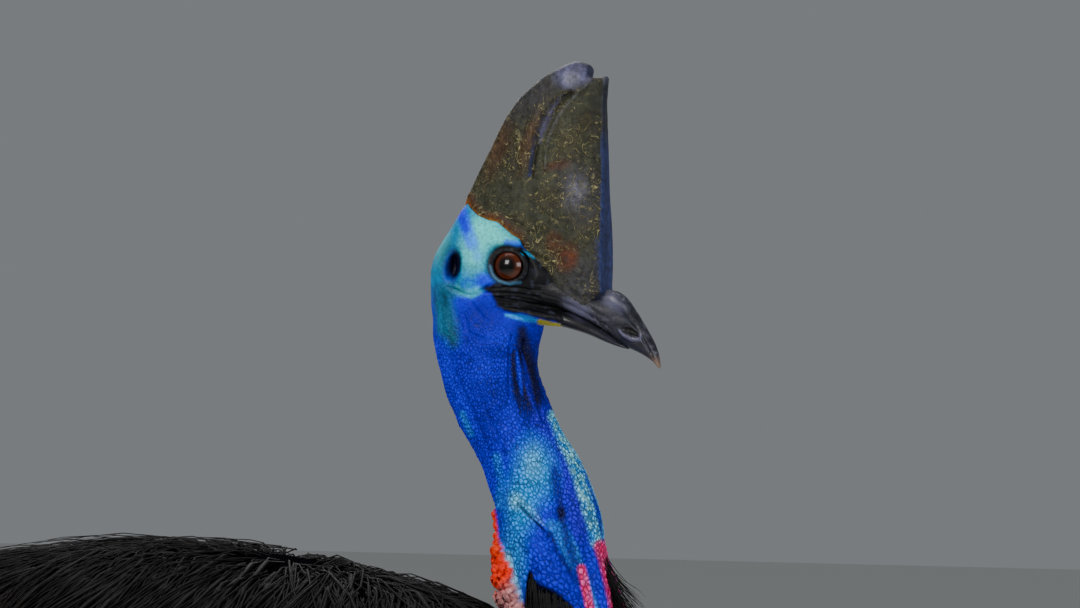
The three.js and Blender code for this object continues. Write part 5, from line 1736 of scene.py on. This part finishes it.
class Graph:
    """Short calls for building a node tree."""

    def __init__(self, tree):
        self.tree = tree

    def node(self, kind, **settings):
        made = self.tree.nodes.new(kind)
        for key, value in settings.items():
            setattr(made, key, value)
        return made

    def link(self, out, into):
        self.tree.links.new(out, into)

    def attribute(self, name):
        return self.node("ShaderNodeAttribute", attribute_name=name)

    def stretched(self, stretch=(1, 1, 1)):
        coordinates = self.node("ShaderNodeTexCoord")
        mapping = self.node("ShaderNodeMapping")
        mapping.inputs["Scale"].default_value = stretch
        self.link(coordinates.outputs["Object"], mapping.inputs["Vector"])
        return mapping.outputs["Vector"]

    def noise(self, scale, detail=4.0, rough=0.55, stretch=(1, 1, 1), distortion=0.0):
        made = self.node("ShaderNodeTexNoise")
        made.inputs["Scale"].default_value = scale
        made.inputs["Detail"].default_value = detail
        made.inputs["Roughness"].default_value = rough
        made.inputs["Distortion"].default_value = distortion
        self.link(self.stretched(stretch), made.inputs["Vector"])
        return made.outputs["Fac"]

    def voronoi(self, scale, feature, where):
        made = self.node("ShaderNodeTexVoronoi", feature=feature)
        made.inputs["Scale"].default_value = scale
        self.link(where, made.inputs["Vector"])
        return made.outputs["Distance"]

    def grey(self, level):
        """A grey of one level, to multiply a tint by."""
        made = self.node("ShaderNodeCombineColor")
        for socket in made.inputs:
            self.link(level, socket)
        return made.outputs[0]

    def math(self, operation, a, b=0.0):
        made = self.node("ShaderNodeMath", operation=operation)
        for i, value in enumerate((a, b)):
            if isinstance(value, (int, float)):
                made.inputs[i].default_value = value
            else:
                self.link(value, made.inputs[i])
        return made.outputs[0]

    def span(self, value, low, high, to_low=0.0, to_high=1.0):
        made = self.node("ShaderNodeMapRange", interpolation_type="SMOOTHSTEP")
        self.link(value, made.inputs["Value"])
        for key, number in (("From Min", low), ("From Max", high), ("To Min", to_low), ("To Max", to_high)):
            made.inputs[key].default_value = number
        return made.outputs["Result"]

    def mix(self, share, a, b, mode="MIX"):
        made = self.node("ShaderNodeMix", data_type="RGBA", blend_type=mode)
        if isinstance(share, (int, float)):
            made.inputs["Factor"].default_value = share
        else:
            self.link(share, made.inputs["Factor"])
        sockets = [s for s in made.inputs if s.type == "RGBA"]
        for socket, value in zip(sockets, (a, b)):
            if isinstance(value, bpy.types.NodeSocket):
                self.link(value, socket)
            else:
                socket.default_value = (*[float(x) for x in value], 1.0)
        return [s for s in made.outputs if s.type == "RGBA"][0]

    def bump(self, height, distance, strength=1.0, normal=None):
        made = self.node("ShaderNodeBump")
        made.inputs["Distance"].default_value = distance
        made.inputs["Strength"].default_value = strength
        self.link(height, made.inputs["Height"])
        if normal is not None:
            self.link(normal, made.inputs["Normal"])
        return made.outputs["Normal"]


def new_material(name):
    """The shader of a new material, a graph for its nodes, and the material."""
    material = bpy.data.materials.new(name)
    material.use_nodes = True
    tree = material.node_tree
    return tree.nodes["Principled BSDF"], Graph(tree), material


def skin_material():
    """Tint, painted shade in the fine cracks between pebbles, pores."""
    shader, g, material = new_material("skin")
    tint = g.attribute("tint").outputs["Color"]
    bead = g.attribute("bead").outputs["Fac"]
    fine = g.noise(420.0, 5.0, 0.6)
    crack = g.voronoi(1.0, "DISTANCE_TO_EDGE", g.attribute("grain").outputs["Vector"])
    pore = g.voronoi(900.0, "F1", g.stretched())
    tone = g.mix(1.0, tint, g.grey(g.span(fine, 0.3, 0.72, 0.7, 1.25)), "MULTIPLY")
    uneven = g.math("ADD", crack, g.math("MULTIPLY", g.math("SUBTRACT", fine, 0.5), 0.12))
    patchy = g.span(g.noise(70.0, 2.0), 0.3, 0.7, 0.45, 1.0)
    # Painted shade along the cracks between pebbles, patchy, where the skin is beaded
    dark = g.math("MULTIPLY", g.math("MULTIPLY", g.span(uneven, 0.0, 0.17, 0.9, 0.0), bead), patchy)
    tone = g.mix(dark, tone, (0.001, 0.002, 0.035))
    g.link(tone, shader.inputs["Base Color"])
    gloss = g.attribute("gloss").outputs["Fac"]
    g.link(g.math("MULTIPLY", gloss, g.span(fine, 0.2, 0.8, 0.2, 0.1)), shader.inputs["Specular IOR Level"])
    g.link(g.span(fine, 0.2, 0.8, 0.40, 0.62), shader.inputs["Roughness"])
    height = g.math("ADD", g.math("MULTIPLY", g.span(crack, 0.0, 0.3), bead), g.math("MULTIPLY", fine, 0.4))
    first = g.bump(height, 0.0006)
    second = g.bump(pore, 0.0002, 0.5, first)
    g.link(second, shader.inputs["Normal"])
    shader.inputs["Subsurface Weight"].default_value = 0.05
    shader.inputs["Subsurface Radius"].default_value = (0.004, 0.002, 0.003)
    shader.inputs["Subsurface Scale"].default_value = 0.3
    return material


def casque_material():
    """Dull horn with pits, streaks and curly worn lines."""
    shader, g, material = new_material("casque")
    tint = g.attribute("tint").outputs["Color"]
    mask = g.attribute("scratch").outputs["Fac"]
    # Curly worn lines: the level lines of two warped noises, gated to patches
    first = g.math("PINGPONG", g.math("MULTIPLY", g.noise(70.0, 2.0, 0.5, (1, 1, 0.8), 1.2), 7.0), 0.5)
    second = g.math("PINGPONG", g.math("MULTIPLY", g.noise(120.0, 1.5, 0.5, (0.8, 1, 1.2), 1.8), 5.0), 0.5)
    gate_a = g.span(g.noise(42.0, 3.0), 0.42, 0.56)
    gate_b = g.span(g.noise(60.0, 3.0, 0.5, (1.2, 1, 0.8)), 0.45, 0.57)
    line_a = g.math("MULTIPLY", g.span(first, 0.03, 0.12, 1.0, 0.0), gate_a)
    line_b = g.math("MULTIPLY", g.span(second, 0.03, 0.11, 1.0, 0.0), gate_b)
    scratch = g.math("MULTIPLY", g.math("MAXIMUM", line_a, line_b), mask)
    pits = g.noise(260.0, 6.0, 0.7)
    streak = g.noise(60.0, 5.0, 0.65, (1, 1, 0.25))
    level = g.math("MULTIPLY", g.span(pits, 0.3, 0.7, 0.5, 1.45), g.span(streak, 0.3, 0.7, 0.7, 1.3))
    tone = g.mix(1.0, tint, g.grey(level), "MULTIPLY")
    fade = g.span(g.noise(180.0, 2.0), 0.35, 0.65, 0.25, 1.0)
    tone = g.mix(g.math("MULTIPLY", g.math("MULTIPLY", scratch, 0.95), fade), tone, SCRATCH)
    g.link(tone, shader.inputs["Base Color"])
    g.link(g.span(pits, 0.25, 0.75, 0.38, 0.62), shader.inputs["Roughness"])
    height = g.math("ADD", g.math("MULTIPLY", pits, 0.6), g.math("MULTIPLY", scratch, 0.7))
    height = g.math("ADD", height, g.math("MULTIPLY", streak, 0.8))
    g.link(g.bump(height, 0.0012), shader.inputs["Normal"])
    shader.inputs["Specular IOR Level"].default_value = 0.2
    return material


def bill_material():
    """Dark horn with streaks along the bill."""
    shader, g, material = new_material("bill")
    tint = g.attribute("tint").outputs["Color"]
    streak = g.noise(120.0, 5.0, 0.6, (0.25, 1, 1))
    grain = g.noise(500.0, 4.0)
    grey = g.grey(g.span(streak, 0.3, 0.7, 0.65, 1.4))
    g.link(g.mix(1.0, tint, grey, "MULTIPLY"), shader.inputs["Base Color"])
    g.link(g.span(streak, 0.25, 0.75, 0.3, 0.52), shader.inputs["Roughness"])
    height = g.math("ADD", streak, g.math("MULTIPLY", grain, 0.25))
    g.link(g.bump(height, 0.0006), shader.inputs["Normal"])
    shader.inputs["Specular IOR Level"].default_value = 0.4
    return material


IRIS_INNER = colour("180802")
IRIS_OUTER = colour("461C0A")
IRIS_RIM = colour("200A03")
BALL = colour("040202")
PUPIL = (0.001, 0.001, 0.001)


def eye_material():
    """Tones by distance from the axis of the eye, in millimetres."""
    shader, g, material = new_material("eye")
    away = g.attribute("away").outputs["Fac"]
    streak = g.noise(900.0, 3.0, 0.6)
    wide = g.math("ADD", away, g.math("MULTIPLY", g.math("SUBTRACT", streak, 0.5), 1.6))
    # Iris, its dark rim, the dark ball round it, and the pupil
    tone = g.mix(g.span(wide, 5.2, 9.2), IRIS_INNER, IRIS_OUTER)
    tone = g.mix(g.span(wide, 9.6, 11.4), tone, IRIS_RIM)
    tone = g.mix(g.span(away, 10.8, 11.8), tone, BALL)
    tone = g.mix(g.span(away, 5.0, 5.8, 1.0, 0.0), tone, PUPIL)
    g.link(tone, shader.inputs["Base Color"])
    shader.inputs["Roughness"].default_value = 0.25
    shader.inputs["Coat Weight"].default_value = 0.4
    shader.inputs["Specular IOR Level"].default_value = 0.15
    shader.inputs["Coat Roughness"].default_value = 0.02
    return material


def feather_material(name, low, high):
    """Near black, browner to the tips."""
    shader, g, material = new_material(name)
    shade = g.attribute("shade").outputs["Fac"]
    run = g.attribute("run").outputs["Fac"]
    drift = g.noise(30.0, 3.0)
    tone = g.mix(g.math("MULTIPLY", shade, g.span(drift, 0.3, 0.7, 0.4, 1.0)), low, high)
    tone = g.mix(g.span(run, 0.55, 1.0, 0.0, 0.4), tone, colour("1E1814"))
    g.link(tone, shader.inputs["Base Color"])
    g.link(g.span(shade, 0.0, 1.0, 0.55, 0.75), shader.inputs["Roughness"])
    shader.inputs["Specular IOR Level"].default_value = 0.12
    return material


def horn_material(name, dark, light, rough):
    """Plain streaked horn, for claws and quills."""
    shader, g, material = new_material(name)
    streak = g.noise(200.0, 5.0, 0.6, (0.4, 0.4, 1.0))
    g.link(g.mix(g.span(streak, 0.3, 0.72), dark, light), shader.inputs["Base Color"])
    g.link(g.span(streak, 0.2, 0.8, rough - 0.1, rough + 0.12), shader.inputs["Roughness"])
    g.link(g.bump(streak, 0.0005), shader.inputs["Normal"])
    return material


def finished(obj, material, replaces=()):
    """An object with its material, body, slot and the nodes whose place it takes."""
    obj.data.materials.clear()
    obj.data.materials.append(material)
    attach(obj, "root")
    if replaces:
        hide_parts(*replaces)


LEG_GREY = colour("5B574B")
LEG_DARK = colour("2C2A26")
LEG_PALE = colour("8D8774")
# Width of a pebble of the skin on trunk and legs
GRAIN_BODY = 5.0


def skin_part(name, surface, tint, bead, grain, gloss):
    """A part of the skin from points and quads, with the attributes that its material reads."""
    points, quads = surface
    obj = mesh_object(name, place(points), quads)
    paint(obj, "tint", tint)
    measure(obj, "bead", bead * np.ones(len(points)))
    direct(obj, "grain", grain)
    measure(obj, "gloss", gloss * np.ones(len(points)))
    return obj


# Skin: head and neck, trunk and legs, joined into one surface
head_points, head_quads = build_head()
head_points, pebble, lore = carve_head(head_points, head_quads)
head_points, caruncle, tone = add_caruncles(head_points, head_quads)
head_tint = colour_head(head_points, pebble, lore, caruncle, tone)
# Under the hair the skin is painted near black, a painted shade for the gaps between the strands
hair_edge = np.interp(side_view(head_points)[0], *HAIR_EDGE)
below = smooth_step(hair_edge - head_points[:, 2], -2.0, 4.0) * (1 - caruncle)
below *= 1 - smooth_step(head_points[:, 0], 84, 90) * smooth_step(-head_points[:, 2], 262, 290)
head_tint = blended(head_tint, LORE * 0.6, below)
bead = (0.12 + 0.75 * smooth_step(-head_points[:, 2], 30, 80)) * (1 - 0.8 * lore) * (1 - caruncle)
surface = (eye_level(head_points, 1), head_quads)
head_skin = skin_part("head_skin", surface, head_tint, bead, grain_of(head_points), 1 - below)
surface = build_body()
# The body's skin under the coat painted near black, a painted shade for the gaps between the strands
plain = np.tile(LORE * 0.6, (len(surface[0]), 1))
body_skin = skin_part("body_skin", surface, plain, 0.0, surface[0] / GRAIN_BODY, 0.0)
parts = [body_skin, head_skin]
for side in SIDES:
    leg_points, leg_quads, height = build_leg(side)
    patchy = noise3(leg_points, 16, 61)
    leg_tint = np.tile(LEG_GREY, (len(leg_points), 1))
    leg_tint = blended(leg_tint, LEG_PALE, smooth_step(patchy, 0.5, 0.85) * 0.6)
    # Painted shade in the grooves between scutes and scales, and darker towards the floor
    leg_tint = blended(leg_tint, LEG_DARK, 1 - smooth_step(height, 0.0, 0.35))
    leg_tint = blended(leg_tint, LEG_DARK, smooth_step(-leg_points[:, 2], -60, -10) * 0.4)
    surface = (leg_points, leg_quads)
    parts.append(skin_part(f"leg_{side}", surface, leg_tint, 0.25, leg_points / GRAIN_BODY, 1.0))
skin = union_of(parts, "skin")
finished(
    skin,
    skin_material(),
    ["head", "neck_upper", "neck_middle", "neck_lower", "torso"]
    + [f"{part}_{side}" for side in SIDES for part in ("wattle", "thigh", "shank", "foot")]
    + [f"toe_{toe}_{side}" for side in SIDES for toe in TOES],
)

# Casque
casque_points, casque_quads, rim = build_casque()
casque_tint, scratch = colour_casque(casque_points, casque_quads, rim)
casque = mesh_object("casque_horn", place(eye_level(casque_points, 1)), casque_quads)
paint(casque, "tint", casque_tint)
measure(casque, "scratch", scratch)
finished(casque, casque_material(), ["casque"])

# Bill
bill_look = bill_material()
for part, rings in (("upper", build_upper_bill()), ("lower", build_lower_bill())):
    horn, horn_points = ring_object(f"bill_{part}_horn", rings)
    paint(horn, "tint", colour_bill(horn_points))
    finished(horn, bill_look, [f"bill_{part}"])

# Eyes, claws, wing quills
eye_look = eye_material()
claw_look = horn_material("claw", colour("171413"), colour("4A4038"), 0.36)
quill_look = horn_material("quill", colour("060606"), colour("121010"), 0.6)
for side, sign in SIDES.items():
    eye = build_eye(f"eye_{side}_ball", sign)
    finished(eye, eye_look, [f"eye_{side}"])
    for toe in TOES:
        claw, _ = ring_object(f"claw_{toe}_{side}_horn", claw_rings(toe, side))
        finished(claw, claw_look, [f"claw_{toe}_{side}"])
    for quill in wing_pieces(side):
        finished(quill, quill_look, [f"wing_{side}"])

# Coat: name, where its roots are, count, start of their spread, length, width, thickness, gathering
COAT = [
    *((f"coat_trunk_{i}", torso_roots, 7600, 0.13 + 0.137 * i, 185.0, 2.1, 0.9, 0.8) for i in range(5)),
    ("coat_trunk_broad", torso_roots, 6200, 0.77, 200.0, 4.6, 0.8, 0.5),
    ("coat_collar", collar_roots, 8600, 0.61, 95.0, 1.4, 0.7, 0.7),
    ("coat_collar_broad", collar_roots, 1500, 0.83, 95.0, 3.2, 0.7, 0.5),
]
NECK_HAIRS = 10500
THIGH_STRANDS = 3600
rng = np.random.default_rng(SEED)
guides = guide_paths(rng)
coat_look = feather_material("feather", colour("070708"), colour("2A2828"))
coat = []
for name, roots_of, count, start, *strand in COAT:
    roots, uv = roots_of(count, start)
    coat.append(plume_set(rng, guides, roots, uv, *strand, name))
coat.append(neck_hair(rng, NECK_HAIRS))
for side in SIDES:
    coat.append(thigh_plumes(rng, side, THIGH_STRANDS))
for piece in coat:
    finished(piece, coat_look)

# Floor and light
floor_mesh = bpy.data.meshes.new("floor")
reach = 14.0
corners = [(-reach, -reach, 0), (reach, -reach, 0), (reach, reach, 0), (-reach, reach, 0)]
floor_mesh.from_pydata(corners, [], [(0, 1, 2, 3)])
floor = bpy.data.objects.new("floor", floor_mesh)
bpy.context.scene.collection.objects.link(floor)
shader, _, floor_look = new_material("floor")
shader.inputs["Base Color"].default_value = (0.8, 0.8, 0.78, 1)
shader.inputs["Roughness"].default_value = 0.9
floor.data.materials.append(floor_look)

world = bpy.data.worlds.new("world")
bpy.context.scene.world = world
world.use_nodes = True
background = world.node_tree.nodes["Background"]
background.inputs["Color"].default_value = (0.80, 0.84, 0.88, 1)
background.inputs["Strength"].default_value = 0.24


def area_light(name, power, size, at, aim, tint=(1, 1, 1)):
    """A square lamp at a place, turned to its aim."""
    data = bpy.data.lights.new(name, "AREA")
    data.energy = power
    data.size = size
    data.color = tint
    lamp = bpy.data.objects.new(name, data)
    lamp.location = at
    lamp.rotation_euler = (Vector(aim) - Vector(at)).to_track_quat("-Z", "Y").to_euler()
    bpy.context.scene.collection.objects.link(lamp)


head_at = (SHIFT / 1000, 0.0, 1.3)
area_light("key", 52.0, 1.0, (head_at[0] - 0.5, -2.0, 2.3), (head_at[0], 0, 1.2), (1, 0.98, 0.95))
area_light("front", 28.0, 1.0, (head_at[0] + 2.2, -1.2, 1.6), (head_at[0], 0, 1.1), (0.95, 0.97, 1))
area_light("back", 24.0, 1.6, (head_at[0] - 1.2, 2.2, 2.6), (head_at[0] - 0.3, 0, 1.1))
area_light("top", 22.0, 1.8, (head_at[0] - 0.3, 0.1, 3.3), (head_at[0] - 0.3, 0, 1.1))
